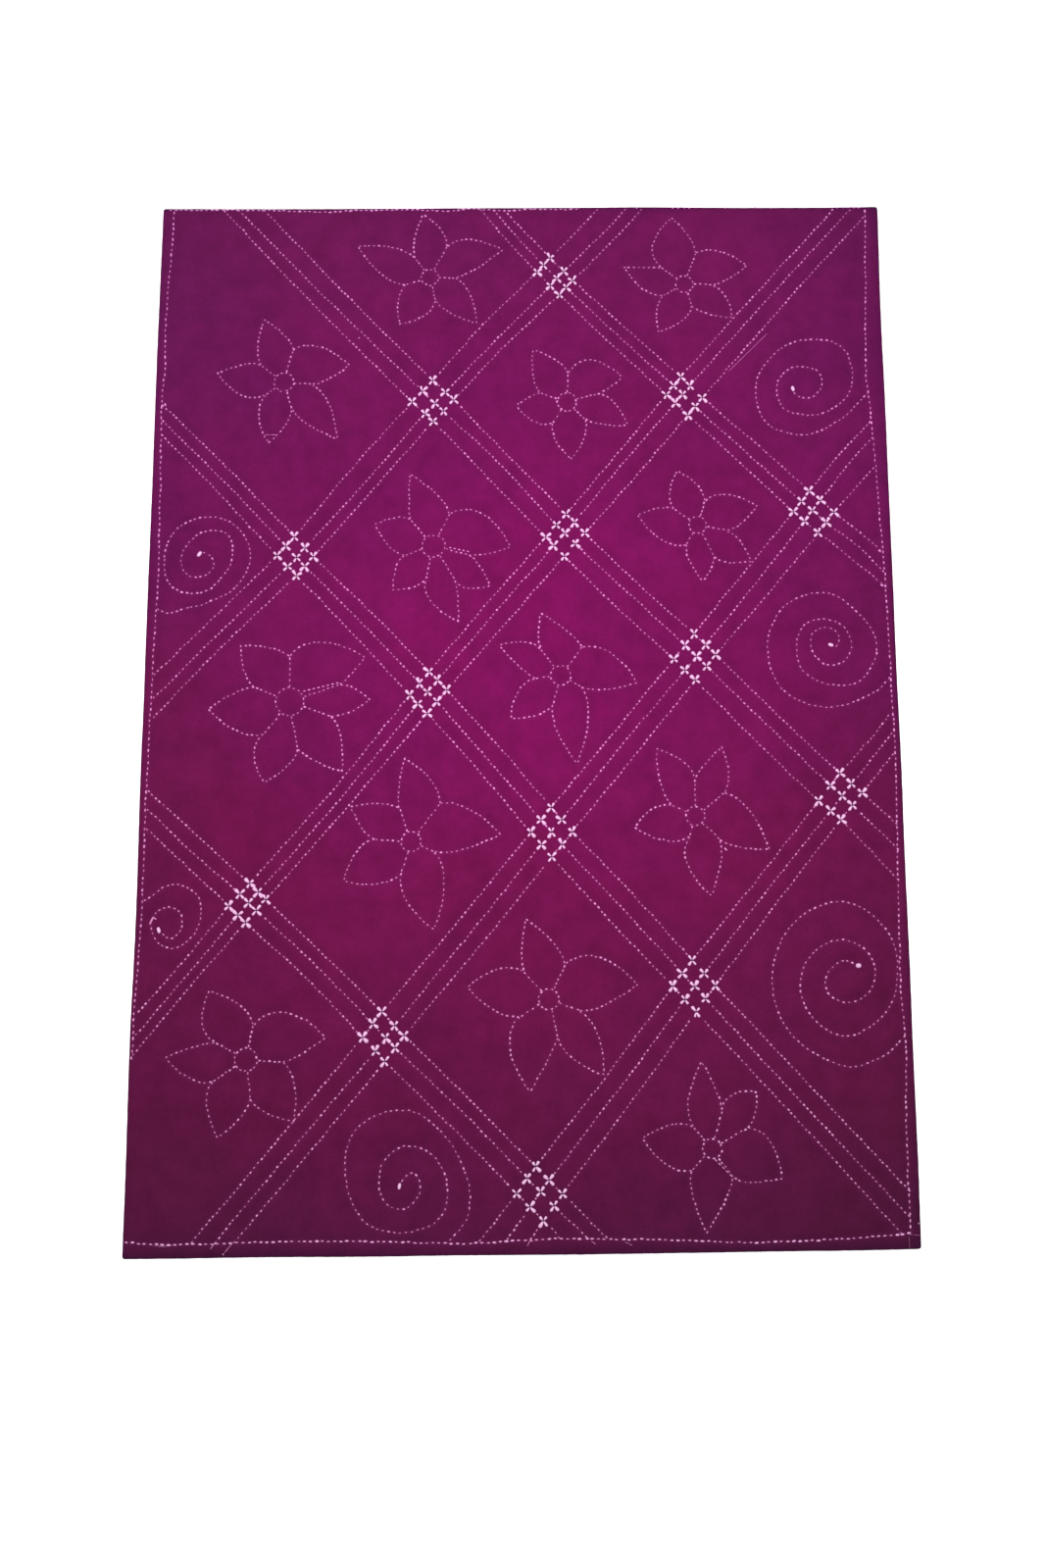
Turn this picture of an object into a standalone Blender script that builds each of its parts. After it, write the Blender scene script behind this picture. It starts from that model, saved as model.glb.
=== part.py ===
"""Kantha quilt laid flat: one quilted cloth, in metres with +Z up.

The origin is the middle of the underside, +X runs across the quilt and +Y up its length.
The needlework chart is in millimetres, as it would be marked on the cloth, and `on_cloth`
turns its points to metres.
"""
import math
from collections import namedtuple

import bmesh
import bpy
from mathutils import Vector, noise
from mathutils.geometry import delaunay_2d_cdt, interpolate_bezier
from mathutils.kdtree import KDTree

# ---------------------------------------------------------------- driving sizes, in metres
WIDTH = 0.910
LENGTH = 1.280
CORNER_RADIUS = 0.006
CROWN = 0.0030           # thickness where the layers lie free between the rows
SEAM = 0.0020            # thickness where a running stitch holds the layers together
EDGE = 0.0024            # thickness of the turned hem at its fold
EDGE_BULGE = 0.0010      # how far the fold of the hem rounds out
FULL_CROWN_AT = 0.011    # distance from a row of stitches at which the cloth is full again
BILLOW = 0.0003          # uneven filling-out of the crowns
BILLOW_LENGTH = 0.060

# How finely the cloth is faceted.
OUTLINE_STEP = 0.024
HEM_STEP = 0.024
BAND_STEP = 0.027
CURVE_STEP = 0.0135
OPEN_STEP = 0.025
UNDERSIDE_STEP = 0.210
FINE_STEP = 0.003
CLEARANCE = 0.0085       # open cloth points keep this far from the rows and the edge
FILL_TOLERANCE = 1e-6
JOIN_DISTANCE = 1e-5

MM = 0.001
SMOOTH_STEPS = 12
SMOOTH_ANGLE = math.radians(40)

# ---------------------------------------------------------------- needlework chart, in millimetres
# Three rows of stitches make a band.  Falling bands A to D run down to the right, and their
# rows are counted from the lower left; rising bands a to d run up to the right, and their rows
# are counted from the upper left.  Between crossings the rows bow a little to one side: each
# bow is the distance to the left of the run, span by span.
Band = namedtuple("Band", "name starts ends bows")
BANDS = (
    Band("A", ((-446, 340), (-446, 358), (-446, 378)), ((433, -622), (443, -603), (444, -574)),
         ((1, 1.5, 1.5, -1, 0), (1.5, 1.5, 0, 0.5, -1), (2, 1.5, 1.5, 2, 0))),
    Band("B", ((-378, 638), (-359, 638), (-326, 638)), ((446, -218), (448, -182), (448, -152)),
         ((-2.5, 0, -2, -1.5, 0.5), (-1.5, 3, 0, 0, 0), (-2, -0.5, -2, 1, 0))),
    Band("C", ((-51, 638), (-35, 638), (-21, 638)), ((446, 140), (445, 159), (442, 186)),
         ((-1.5, -1, 0, 1), (-1, -0.5, -0.5, 3), (-0.5, -0.5, 1, 1))),
    Band("D", ((-446, -150), (-446, -127), (-446, -105)), ((42, -622), (73, -622), (96, -623)),
         ((0, 3.5, 1, 0), (-1.5, 2.5, 2, 0), (0, 0.5, 1, 0))),
    Band("a", ((-445, 35), (-444, 7), (-444, -17)), ((99, 638), (134, 638), (155, 638)),
         ((-0.5, 2, 3, 0), (0.5, -3, 1, -1), (2, 0, 3, -1))),
    Band("b", ((-448, -365), (-449, -391), (-452, -414)), ((400, 637), (421, 637), (438, 627)),
         ((-1.5, -3.5, 1, -0.5, 1), (0, -2.5, 1, 1.5, 1), (1, -1, -0.5, -1, 1.5))),
    Band("c", ((-377, -623), (-351, -624), (-329, -624)), ((436, 353), (438, 333), (438, 293)),
         ((-0.5, -1, -0.5, 0, 2), (-0.5, -0.5, 1.5, -0.5, 2), (0, -1.5, -0.5, -1, 0))),
    Band("d", ((-50, -625), (-18, -624), (8, -624)), ((444, -19), (446, -41), (447, -66)),
         ((0, -2, -1, -1), (0, -1, 0, -0.5), (0, -1, 1, 0))),
)

# Where a falling and a rising band cross there are nine crossings, on a slanted three by three.
# The middle row of either band may lie a little nearer its third row than its first.
Cluster = namedtuple("Cluster", "falling rising x y rise_dx rise_dy fall_dx fall_dy mid_fall mid_rise")
CLUSTERS = (
    #       bands      centre      step up a row   step down a row  middle rows
    Cluster("A", "a", -277, 183, 10.2, 11.8, 11.9, -12.7, 0, 2),
    Cluster("A", "b", -113, 12, 11.7, 14.4, 10.7, -11.3, 0, -1),
    Cluster("A", "c", 35, -158, 12.3, 14.7, 12.4, -14.7, 0, 0),
    Cluster("A", "d", 201, -340, 11.6, 15.0, 13.4, -14.8, 0, 1),
    Cluster("B", "a", -110, 382, 12.7, 14.1, 13.2, -12.9, 0, 4),
    Cluster("B", "b", 54, 208, 12.7, 14.7, 11.4, -12.1, 1, -2),
    Cluster("B", "c", 210, 54, 12.7, 15.6, 12.8, -13.0, 2, 1),
    Cluster("B", "d", 381, -118, 13.3, 16.2, 12.9, -11.8, 2, 1),
    Cluster("C", "a", 43, 547, 8.4, 9.6, 14.3, -15.3, 0, 4),
    Cluster("C", "b", 204, 387, 9.3, 11.5, 13.3, -13.6, 0, -3),
    Cluster("C", "c", 361, 236, 10.2, 13.2, 14.9, -13.6, 0, -2),
    Cluster("D", "b", -324, -239, 11.7, 13.3, 9.9, -9.7, 1, 1),
    Cluster("D", "c", -162, -395, 11.1, 14.6, 13.1, -13.7, 1, 3),
    Cluster("D", "d", 19, -573, 11.0, 14.8, 15.3, -15.3, 2, 0),
)

# A flower is a ring with leaf-shaped petals.  A petal is given by the angle and reach of its tip
# and of the fork where it parts from the next petal, anticlockwise from the flower's centre,
# and by how far its clockwise and its anticlockwise edge bow from straight.
Petal = namedtuple("Petal", "turn reach fork_turn fork_reach bow_before bow_after")
Flower = namedtuple("Flower", "x y ring petals")
FLOWERS = (
    Flower(-296, 408, 12, (
        Petal(15, 84, 76, 43, 4, 15), Petal(108, 86, 143, 36, 5, 6), Petal(172, 84, 218, 28, 5, 11),
        Petal(258, 82, 286, 37, 10, 5), Petal(312, 101, 354, 35, 5, 9))),
    Flower(-115, 546, 11, (
        Petal(22, 99, 63, 47, 4, 11), Petal(96, 86, 126, 32, 6, 5), Petal(155, 101, 198, 32, 8, 9),
        Petal(239, 73, 283, 32, 6, 8), Petal(314, 85, 360, 32, 5, 8))),
    Flower(207, 536, 11, (
        Petal(17, 83, 70, 45, 3, 10), Petal(99, 92, 142, 37, 4, 16), Petal(163, 80, 209, 32, 0, 8),
        Petal(242, 72, 287, 29, 5, 8), Petal(323, 75, 358, 36, 5, 6))),
    Flower(57, 380, 12, (
        Petal(25, 77, 87, 37, 2, 20), Petal(121, 80, 160, 35, 6, 6), Petal(184, 63, 236, 33, 2, 9),
        Petal(274, 75, 315, 32, 6, 6), Petal(338, 81, 376, 39, 4, 8))),
    Flower(-108, 195, 14, (
        Petal(108, 97, 130, 44, 5, 4), Petal(159, 77, 198, 37, 5, 6), Petal(228, 74, 259, 38, 5, 7),
        Petal(288, 100, 301, 50, 11, 2), Petal(324, 86, 345, 44, 7, 4),
        Petal(359, 95, 424, 46, 3, 19))),
    Flower(217, 220, 11, (
        Petal(18, 78, 72, 32, 5, 11), Petal(109, 74, 144, 35, 6, 7), Petal(170, 75, 240, 28, 4, 11),
        Petal(274, 71, 296, 44, 5, 3), Petal(324, 80, 349, 36, 5, 5))),
    Flower(-280, 2, 17, (
        Petal(1, 97, 19, 63, 4, 4), Petal(31, 105, 91, 56, 2, 18), Petal(131, 92, 157, 46, 4, 6),
        Petal(185, 98, 233, 49, 4, 10), Petal(254, 102, 281, 58, 12, 6),
        Petal(307, 107, 340, 53, 4, 7))),
    Flower(47, 32, 12, (
        Petal(107, 81, 126, 41, 3, 3), Petal(153, 83, 186, 31, 7, 5), Petal(221, 80, 256, 36, 9, 6),
        Petal(280, 109, 330, 28, 8, 11), Petal(354, 93, 413, 44, 5, 13))),
    Flower(-132, -168, 12, (
        Petal(4, 106, 53, 56, 6, 11), Petal(95, 100, 110, 42, 9, 3), Petal(150, 84, 176, 43, 5, 4),
        Petal(210, 92, 254, 38, 8, 9), Petal(285, 108, 336, 30, 8, 12))),
    Flower(207, -140, 11, (
        Petal(68, 90, 90, 40, 6, 4), Petal(119, 93, 155, 31, 10, 6), Petal(190, 74, 253, 25, 8, 10),
        Petal(280, 96, 315, 40, 12, 5), Petal(335, 96, 398, 45, 4, 10))),
    Flower(-321, -420, 13, (
        Petal(15, 95, 79, 40, 3, 20), Petal(120, 91, 151, 41, 9, 12), Petal(178, 93, 213, 45, 3, 8),
        Petal(251, 93, 278, 44, 9, 5), Petal(309, 90, 356, 42, 6, 9))),
    Flower(31, -354, 12, (
        Petal(9, 105, 65, 45, 6, 18), Petal(106, 97, 132, 44, 6, 3), Petal(171, 97, 210, 39, 10, 8),
        Petal(258, 107, 283, 45, 15, 4), Petal(306, 107, 339, 38, 8, 10))),
    Flower(218, -525, 11, (
        Petal(50, 83, 74, 44, 5, 10), Petal(96, 99, 131, 32, 3, 9), Petal(171, 81, 225, 34, 8, 10),
        Petal(265, 93, 306, 40, 6, 6), Petal(337, 86, 389, 47, 5, 13))),
)
FORK_HANDLE, TIP_HANDLE = 0.22, 0.34      # of the chord, along it
FORK_BULGE, TIP_BULGE = 1.60, 1.07        # of the bow, across it

# A spiral leaves its knot, widens by eighths of a turn about its centre and runs to the hem.
Spiral = namedtuple("Spiral", "knot centre turn start radii tails")
SPIRALS = (
    Spiral((340, 396), (355, 400), 1, 225,
           (16, 16, 18, 22, 25, 25, 30, 35, 40, 39, 45, 59, 70, 60, 56, 61, 69, 64, 62),
           ((418, 374), (436, 392))),
    Spiral((-394, 186), (-388, 182), -1, 90,
           (6, 6, 9, 16, 23, 30, 28, 27, 33, 40, 34, 33, 44, 53, 49, 50, 51, 55, 56, 54, 59),
           ((-408, 119), (-431, 112), (-445, 118))),
    Spiral((376, 68), (371, 67), 1, 0,
           (12, 20, 23, 23, 19, 19, 24, 28, 30, 32, 33, 37, 37, 42, 48, 59, 61, 57, 66, 70, 72,
            77, 76, 81), ((447, 28),)),
    Spiral((-427, -270), (-414, -260), 1, 270,
           (20, 16, 14, 15, 17, 19, 22, 26, 31, 31, 35, 43, 43, 38), ((-447, -236),)),
    Spiral((395, -318), (377, -333), 1, 90,
           (21, 18, 21, 25, 27, 31, 37, 42, 45, 46, 50, 58, 66, 62, 63, 77, 90, 86, 84, 90, 101),
           ((415, -425), (431, -414), (447, -398))),
    Spiral((-141, -563), (-136, -560), -1, 90,
           (6, 15, 18, 22, 29, 30, 29, 34, 41, 44, 49, 56, 54, 61, 66, 81, 80, 68, 73),
           ((-62, -591), (-69, -608), (-84, -624))),
)
EIGHTH = 45

# The stitching of the hem: how far along each side, and how far in from the edge.
HEM_LEFT = ((636, 14), (504, 10), (384, 8), (265, 10), (165, 12), (50, 9), (-80, 8), (-230, 7),
            (-305, 5), (-352, 4))
HEM_RIGHT = ((636, 15), (546, 18), (415, 22), (337, 17), (240, 13), (145, 9), (0, 7), (-60, 6),
             (-180, 8), (-260, 10), (-350, 11), (-410, 8), (-480, 11), (-621, 12))
HEM_BOTTOM = ((-453, 18), (-400, 15), (-265, 17), (-160, 16), (-80, 13), (-10, 15), (35, 17),
              (150, 15), (270, 11), (390, 15), (443, 19))

# The cut edge wanders a little: place along the side, and how far out from the true oblong.
WANDER_LEFT = ((640, -1), (130, -1), (-390, -1), (-640, 0))
WANDER_RIGHT = ((640, 0), (130, -1.5), (-130, 0), (-390, 0), (-640, -2))
WANDER_TOP = ((-455, 0), (455, 0))
WANDER_BOTTOM = ((-455, -2), (-300, -1), (30, 0), (300, 0), (455, -2.5))

# Soft creases left by folding: both ends, half-width, and height at the middle.
Crease = namedtuple("Crease", "x0 y0 x1 y1 half_width height")
CREASES = (
    Crease(-440, 358, -300, 353, 7, 0.6),
    Crease(-436, 625, -432, 470, 6, 0.7),
    Crease(-452, 560, -440, 420, 6, 0.5),
    Crease(262, 604, 352, 622, 7, 0.5),
    Crease(280, 626, 345, 632, 5, 0.4),
    Crease(30, -470, 96, -452, 12, 0.6),
    Crease(282, -40, 276, -150, 16, 0.6),
    Crease(60, 0, 20, -95, 14, 0.4),
    Crease(-430, -60, -340, -105, 18, 0.5),
)

CLOTH_COLOUR = (0.150, 0.010, 0.075, 1.0)
CLOTH_ROUGHNESS = 0.85


# ---------------------------------------------------------------- lines of the chart
def polar(centre, degrees, reach):
    """The point at an angle and a reach from a centre."""
    angle = math.radians(degrees)
    return centre + Vector((math.cos(angle), math.sin(angle))) * reach


def curve_through(points):
    """A smooth line through the points, in Bezier spans whose handles suit each span."""
    last = len(points) - 1
    ways = [(points[min(i + 1, last)] - points[max(i - 1, 0)]).normalized()
            for i in range(last + 1)]
    line = [points[0]]
    for i in range(last):
        start, end = points[i], points[i + 1]
        third = (end - start).length / 3
        line += interpolate_bezier(start, start + ways[i] * third,
                                   end - ways[i + 1] * third, end, SMOOTH_STEPS)[1:]
    return line


def crossing(cluster, fall_row, rise_row):
    """Where one row of the falling band crosses one row of the rising band."""
    rise = Vector((cluster.rise_dx, cluster.rise_dy))
    fall = Vector((cluster.fall_dx, cluster.fall_dy))
    point = Vector((cluster.x, cluster.y)) + rise * (fall_row - 1) + fall * (rise_row - 1)
    if fall_row == 1:
        point += rise.normalized() * cluster.mid_fall
    if rise_row == 1:
        point += fall.normalized() * cluster.mid_rise
    return point


def band_rows(band):
    """The three rows of one band, each through its crossings, from the left to the right."""
    met = sorted((c for c in CLUSTERS if band.name in (c.falling, c.rising)), key=lambda c: c.x)
    falls = band.name.isupper()
    rows = []
    for row in range(3):
        points = [Vector(band.starts[row])]
        for bow, cluster in zip(band.bows[row], met):
            pairs = [(row, other) if falls else (other, row) for other in range(3)]
            crossed = [crossing(cluster, *pair) for pair in pairs]
            points += [bowed(points[-1], crossed[0], bow)] + crossed
        end = Vector(band.ends[row])
        points += [bowed(points[-1], end, band.bows[row][-1]), end]
        rows.append(curve_through(points))
    return rows


def bowed(start, end, bow):
    """The middle of a span, moved to the left of its run by its bow."""
    return (start + end) / 2 + (end - start).orthogonal().normalized() * bow


def petal_edge(fork, tip, bow):
    """One edge of a petal, from its fork to its tip, bowed to the left of its run."""
    chord = tip - fork
    out = chord.orthogonal().normalized() * bow
    return interpolate_bezier(fork, fork + chord * FORK_HANDLE + out * FORK_BULGE,
                              tip - chord * TIP_HANDLE + out * TIP_BULGE, tip, SMOOTH_STEPS)


def flower_lines(flower):
    """The ring of a flower, a stem to each fork and the two edges of each petal."""
    centre = Vector((flower.x, flower.y))
    lines = [[polar(centre, degrees, flower.ring) for degrees in range(0, 361, 30)]]
    for before, petal in zip((flower.petals[-1],) + flower.petals[:-1], flower.petals):
        tip = polar(centre, petal.turn, petal.reach)
        fork = polar(centre, petal.fork_turn, petal.fork_reach)
        fork_before = polar(centre, before.fork_turn, before.fork_reach)
        lines.append([polar(centre, petal.fork_turn, flower.ring), fork])
        lines.append(petal_edge(fork_before, tip, -petal.bow_before))
        lines.append(petal_edge(fork, tip, petal.bow_after))
    return lines


def spiral_line(spiral):
    """A spiral from its knot out to the hem, on a smooth curve through its eighths."""
    centre = Vector(spiral.centre)
    points = [Vector(spiral.knot)]
    for i, radius in enumerate(spiral.radii):
        points.append(polar(centre, spiral.start + spiral.turn * EIGHTH * i, radius))
    return curve_through(points + [Vector(tail) for tail in spiral.tails])


def hem_lines():
    """The stitching of the left, bottom and right hems; the top one runs on its fold."""
    left, bottom = -WIDTH / MM / 2, -LENGTH / MM / 2
    return [
        [Vector((left + inset, along)) for along, inset in HEM_LEFT],
        [Vector((along, bottom + inset)) for along, inset in HEM_BOTTOM],
        [Vector((-left - inset, along)) for along, inset in HEM_RIGHT],
    ]


# ---------------------------------------------------------------- points on the cloth
def on_cloth(line):
    """A line of the chart, turned from millimetres to metres."""
    return [point * MM for point in line]


def walk(line, step):
    """Points at even steps along a line, both ends kept."""
    lengths = [0.0]
    for a, b in zip(line, line[1:]):
        lengths.append(lengths[-1] + (b - a).length)
    count = max(1, round(lengths[-1] / step))
    points = []
    span = 0
    for i in range(count + 1):
        target = lengths[-1] * i / count
        while span < len(line) - 2 and lengths[span + 1] < target:
            span += 1
        part = (target - lengths[span]) / max(lengths[span + 1] - lengths[span], FILL_TOLERANCE)
        points.append(line[span].lerp(line[span + 1], min(part, 1.0)))
    return points


def middle_row(one, other, step):
    """The row half-way between two rows of a band, where the cloth between them is fullest."""
    length = sum((b - a).length for a, b in zip(one, one[1:]))
    pairs = zip(walk(one, length / round(length / step)), walk(other, length / round(length / step)))
    return [(a + b) / 2 for a, b in pairs]


def wander(rows, along):
    """How far out the edge lies at a place along a side, between the rows of its table."""
    rows = sorted(rows)
    for (start, out_start), (end, out_end) in zip(rows, rows[1:]):
        if along <= end:
            part = max(0.0, (along - start) / (end - start))
            return out_start + (out_end - out_start) * part
    return rows[-1][1]


def outline():
    """The edge of the cloth on its upper side, anticlockwise, a fold's bulge within its size."""
    half_x = WIDTH / 2 - EDGE_BULGE
    half_y = LENGTH / 2 - EDGE_BULGE
    corner_x, corner_y = half_x - CORNER_RADIUS, half_y - CORNER_RADIUS
    points = []
    sides = (
        (Vector((corner_x, -corner_y)), 1, 2 * corner_y, WANDER_RIGHT, 0),
        (Vector((corner_x, corner_y)), 0, -2 * corner_x, WANDER_TOP, 90),
        (Vector((-corner_x, corner_y)), 1, -2 * corner_y, WANDER_LEFT, 180),
        (Vector((-corner_x, -corner_y)), 0, 2 * corner_x, WANDER_BOTTOM, 270),
    )
    for start, axis, run, rows, facing in sides:
        count = round(abs(run) / OUTLINE_STEP)
        for i in range(count + 1):
            base = start.copy()
            base[axis] += run * i / count
            out = CORNER_RADIUS + wander(rows, base[axis] / MM) * MM
            points.append(polar(base, facing, out))
        base = start.copy()
        base[axis] += run
        points.append(polar(base, facing + 45, CORNER_RADIUS))
    return points


def spread(points):
    """A finder of the nearest of many points."""
    tree = KDTree(len(points))
    for i, point in enumerate(points):
        tree.insert(point.to_3d(), i)
    tree.balance()
    return tree


def open_points(taken):
    """Points in staggered rows over the cloth, wherever the chart leaves it open."""
    near = spread(taken)
    row_gap = OPEN_STEP * math.sqrt(3) / 2
    rows = int(LENGTH / row_gap)
    columns = int(WIDTH / OPEN_STEP)
    points = []
    for row in range(1, rows + 1):
        for column in range(columns + 1):
            x = (column - columns / 2 + (row % 2) / 2) * OPEN_STEP
            point = Vector((x, row * row_gap - LENGTH / 2))
            inside = abs(x) < WIDTH / 2 - CLEARANCE and abs(point.y) < LENGTH / 2 - CLEARANCE
            if inside and near.find(point.to_3d())[2] > CLEARANCE:
                points.append(point)
    return points


def crease_height(point):
    """How far the soft creases lift the cloth at a point."""
    height = 0.0
    for crease in CREASES:
        start = Vector((crease.x0, crease.y0)) * MM
        run = Vector((crease.x1, crease.y1)) * MM - start
        part = min(max((point - start).dot(run) / run.length_squared, 0.0), 1.0)
        away = (point - start - run * part).length / (crease.half_width * MM)
        fade = math.sin(math.pi * min(max(part, 0.05), 0.95))
        height += crease.height * MM * fade * math.exp(-away * away)
    return height


def top_height(point, seam_finder):
    """Height of the quilted face: drawn down along the rows and full between them."""
    away = seam_finder.find(point.to_3d())[2]
    ease = math.sin(min(away / FULL_CROWN_AT, 1.0) * math.pi / 2)
    billow = BILLOW * noise.noise((point / BILLOW_LENGTH).to_3d())
    return SEAM + (CROWN - SEAM + billow) * ease + crease_height(point) * ease


# ---------------------------------------------------------------- the solid
def link(points, first):
    """The edges that join a line of points whose first one has the given number."""
    return [(first + i, first + i + 1) for i in range(len(points) - 1)]


def add_fill(mesh, border, lines, loose):
    """Triangles inside a border, with the lines among their edges; returns the new vertices."""
    points = list(border)
    edges = link(border, 0) + [(len(border) - 1, 0)]
    for line in lines:
        edges += link(line, len(points))
        points += line
    points += loose
    spots, _, triangles, *_ = delaunay_2d_cdt(points, edges, [], 1, FILL_TOLERANCE)
    verts = [mesh.verts.new(spot.to_3d()) for spot in spots]
    for triangle in triangles:
        mesh.faces.new([verts[i] for i in triangle])
    return verts


def sized(point, out):
    """A point of the border, moved out to both sides by a distance."""
    return Vector((point.x * (1 + out / (WIDTH / 2)), point.y * (1 + out / (LENGTH / 2))))


def fold_edge(mesh, heights_and_outs):
    """The rounded edge: the border drawn down ring by ring."""
    ring = [edge for edge in mesh.edges if edge.is_boundary]
    for height, out in heights_and_outs:
        drawn = bmesh.ops.extrude_edge_only(mesh, edges=ring)["geom"]
        ring = [item for item in drawn if isinstance(item, bmesh.types.BMEdge)]
        for vert in {v for edge in ring for v in edge.verts}:
            vert.co = sized(vert.co.xy, out).to_3d() + Vector((0, 0, height))


def quilt_mesh():
    """The quilt as one closed mesh: quilted face, folded edge and flat underside."""
    rows, lanes = [], []
    for band in BANDS:
        lines = [on_cloth(line) for line in band_rows(band)]
        rows += [walk(line, BAND_STEP) for line in lines]
        lanes += [middle_row(a, b, BAND_STEP) for a, b in zip(lines, lines[1:])]
    for line in hem_lines():
        rows.append(walk(on_cloth(curve_through(line)), HEM_STEP))
    for flower in FLOWERS:
        rows += [walk(on_cloth(line), CURVE_STEP) for line in flower_lines(flower)]
        lanes.append([Vector((flower.x, flower.y)) * MM])
    for spiral in SPIRALS:
        rows.append(walk(on_cloth(spiral_line(spiral)), CURVE_STEP))

    seam_finder = spread([point for row in rows for point in walk(row, FINE_STEP)])
    inner = [[p for p in lane if seam_finder.find(p.to_3d())[2] > CLEARANCE / 2] for lane in lanes]
    crowns = [point for lane in inner for point in lane]
    border = outline()
    crowns += open_points(border + crowns + [point for row in rows for point in row])

    mesh = bmesh.new()
    for vert in add_fill(mesh, border, rows, crowns):
        height = EDGE if vert.is_boundary else top_height(vert.co.xy, seam_finder)
        vert.co.z = height
    fold_edge(mesh, ((EDGE / 2, EDGE_BULGE), (0.0, -EDGE_BULGE / 2)))
    foot = [sized(sized(point, EDGE_BULGE), -EDGE_BULGE / 2) for point in border]
    columns = int(WIDTH / UNDERSIDE_STEP)
    lines = int(LENGTH / UNDERSIDE_STEP)
    under = [Vector(((i - columns / 2 + 0.5) * UNDERSIDE_STEP, (j - lines / 2 + 0.3) * UNDERSIDE_STEP))
             for i in range(columns) for j in range(lines)]
    add_fill(mesh, foot, [], under)
    bmesh.ops.remove_doubles(mesh, verts=mesh.verts, dist=JOIN_DISTANCE)
    bmesh.ops.recalc_face_normals(mesh, faces=mesh.faces)
    return mesh


def cloth_material():
    material = bpy.data.materials.new("dyed_cotton")
    material.use_nodes = True
    shader = material.node_tree.nodes["Principled BSDF"]
    shader.inputs["Base Color"].default_value = CLOTH_COLOUR
    shader.inputs["Roughness"].default_value = CLOTH_ROUGHNESS
    shader.inputs["Metallic"].default_value = 0.0
    return material


def main():
    for old in list(bpy.data.objects):
        bpy.data.objects.remove(old, do_unlink=True)
    collection = bpy.data.collections.new("kantha_quilt")
    bpy.context.scene.collection.children.link(collection)

    mesh = quilt_mesh()
    data = bpy.data.meshes.new("quilt")
    mesh.to_mesh(data)
    mesh.free()
    data.materials.append(cloth_material())
    data.shade_smooth()
    data.set_sharp_from_angle(angle=SMOOTH_ANGLE)
    quilt = bpy.data.objects.new("quilt", data)
    collection.objects.link(quilt)


main()
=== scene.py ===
# %% [markdown]
# # A kantha quilt, laid flat
#
# A kantha is a thin quilt: soft old cloth in a few layers, held together by nothing but rows of
# running stitch in thick pale thread.  Here the cloth is dyed plum, and the thread draws triple
# bands on the slant, a flower in each field between them, a spiral at the side fields and nine
# plump crosses wherever two bands meet.
#
# The lesson dresses a finished CAD model.  The model gives the true size and the place of every
# row; this script adds what the needle did to the cloth and what the light finds in it.

# %% Load the measured quilt
import math
import random
from collections import namedtuple
from contextlib import contextmanager

import bmesh
import bpy
from mathutils import Matrix, Vector, noise
from mathutils.geometry import delaunay_2d_cdt, interpolate_bezier
from mathutils.kdtree import KDTree


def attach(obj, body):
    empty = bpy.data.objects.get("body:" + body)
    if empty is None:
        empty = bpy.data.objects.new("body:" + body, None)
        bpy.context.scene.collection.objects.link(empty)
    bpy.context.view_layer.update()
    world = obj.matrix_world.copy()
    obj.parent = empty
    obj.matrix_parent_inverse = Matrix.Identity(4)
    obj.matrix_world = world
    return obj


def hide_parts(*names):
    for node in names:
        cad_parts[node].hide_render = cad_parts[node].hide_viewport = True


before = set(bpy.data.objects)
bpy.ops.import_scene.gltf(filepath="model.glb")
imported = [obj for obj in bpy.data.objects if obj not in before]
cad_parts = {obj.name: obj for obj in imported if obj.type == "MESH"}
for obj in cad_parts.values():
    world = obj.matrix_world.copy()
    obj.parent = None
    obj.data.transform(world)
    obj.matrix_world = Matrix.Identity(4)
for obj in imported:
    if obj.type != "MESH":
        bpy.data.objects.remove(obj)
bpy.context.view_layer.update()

MM = 0.001

# %% [markdown]
# ## Camera
#
# A quilt this flat is best seen from almost straight above, with a slight lean from its near end
# so that the far end narrows a little.  A lean of seven degrees does that.  The lens is wide for
# the distance, which is what makes the two long sides run together towards the top.  The camera
# could be aimed with a constraint, but three plain angles keep it easy to read and to move.  It
# stands five centimetres to the right of the middle, and a small sideways shift of the lens brings
# the quilt back to the middle of the frame without turning its edges.

# %% Camera
CAMERA_PLACE = (0.0526, -0.2694, 1.3653)
CAMERA_TURN = (7.068, -0.442, -0.465)      # degrees about X, Y and Z
LENS = 26.36                               # millimetres, on a 36 mm long side
SIDE_SHIFT = -0.0341                       # a small step of the lens, in long sides

bpy.ops.object.camera_add(location=CAMERA_PLACE,
                          rotation=[math.radians(turn) for turn in CAMERA_TURN])
camera = bpy.context.object
camera.name = "overhead_camera"
camera.data.sensor_width = 36.0
camera.data.lens = LENS
camera.data.shift_x = SIDE_SHIFT
camera.data.clip_start = 0.01
camera.data.clip_end = 100.0
bpy.context.scene.camera = camera
print("camera", round(camera.location.z, 3), "m above the table")

# %% [markdown]
# ## The needlework chart
#
# A quilter marks the pattern on the cloth before sewing.  The chart holds those marks, in
# millimetres from the middle of the quilt, with X to the right and Y up its length.  It could be
# drawn by hand as curves, but a chart in figures keeps the cloth, the thread and the CAD model on
# the same lines; a few bows are eased by a millimetre or two, as thread eases them.
#
# Three rows of stitches make a band.  Falling bands A to D run down to the right, and their rows
# are counted from the lower left; rising bands a to d run up to the right, and their rows are
# counted from the upper left.  A bow is how far a row strays to its left between two crossings.

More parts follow.
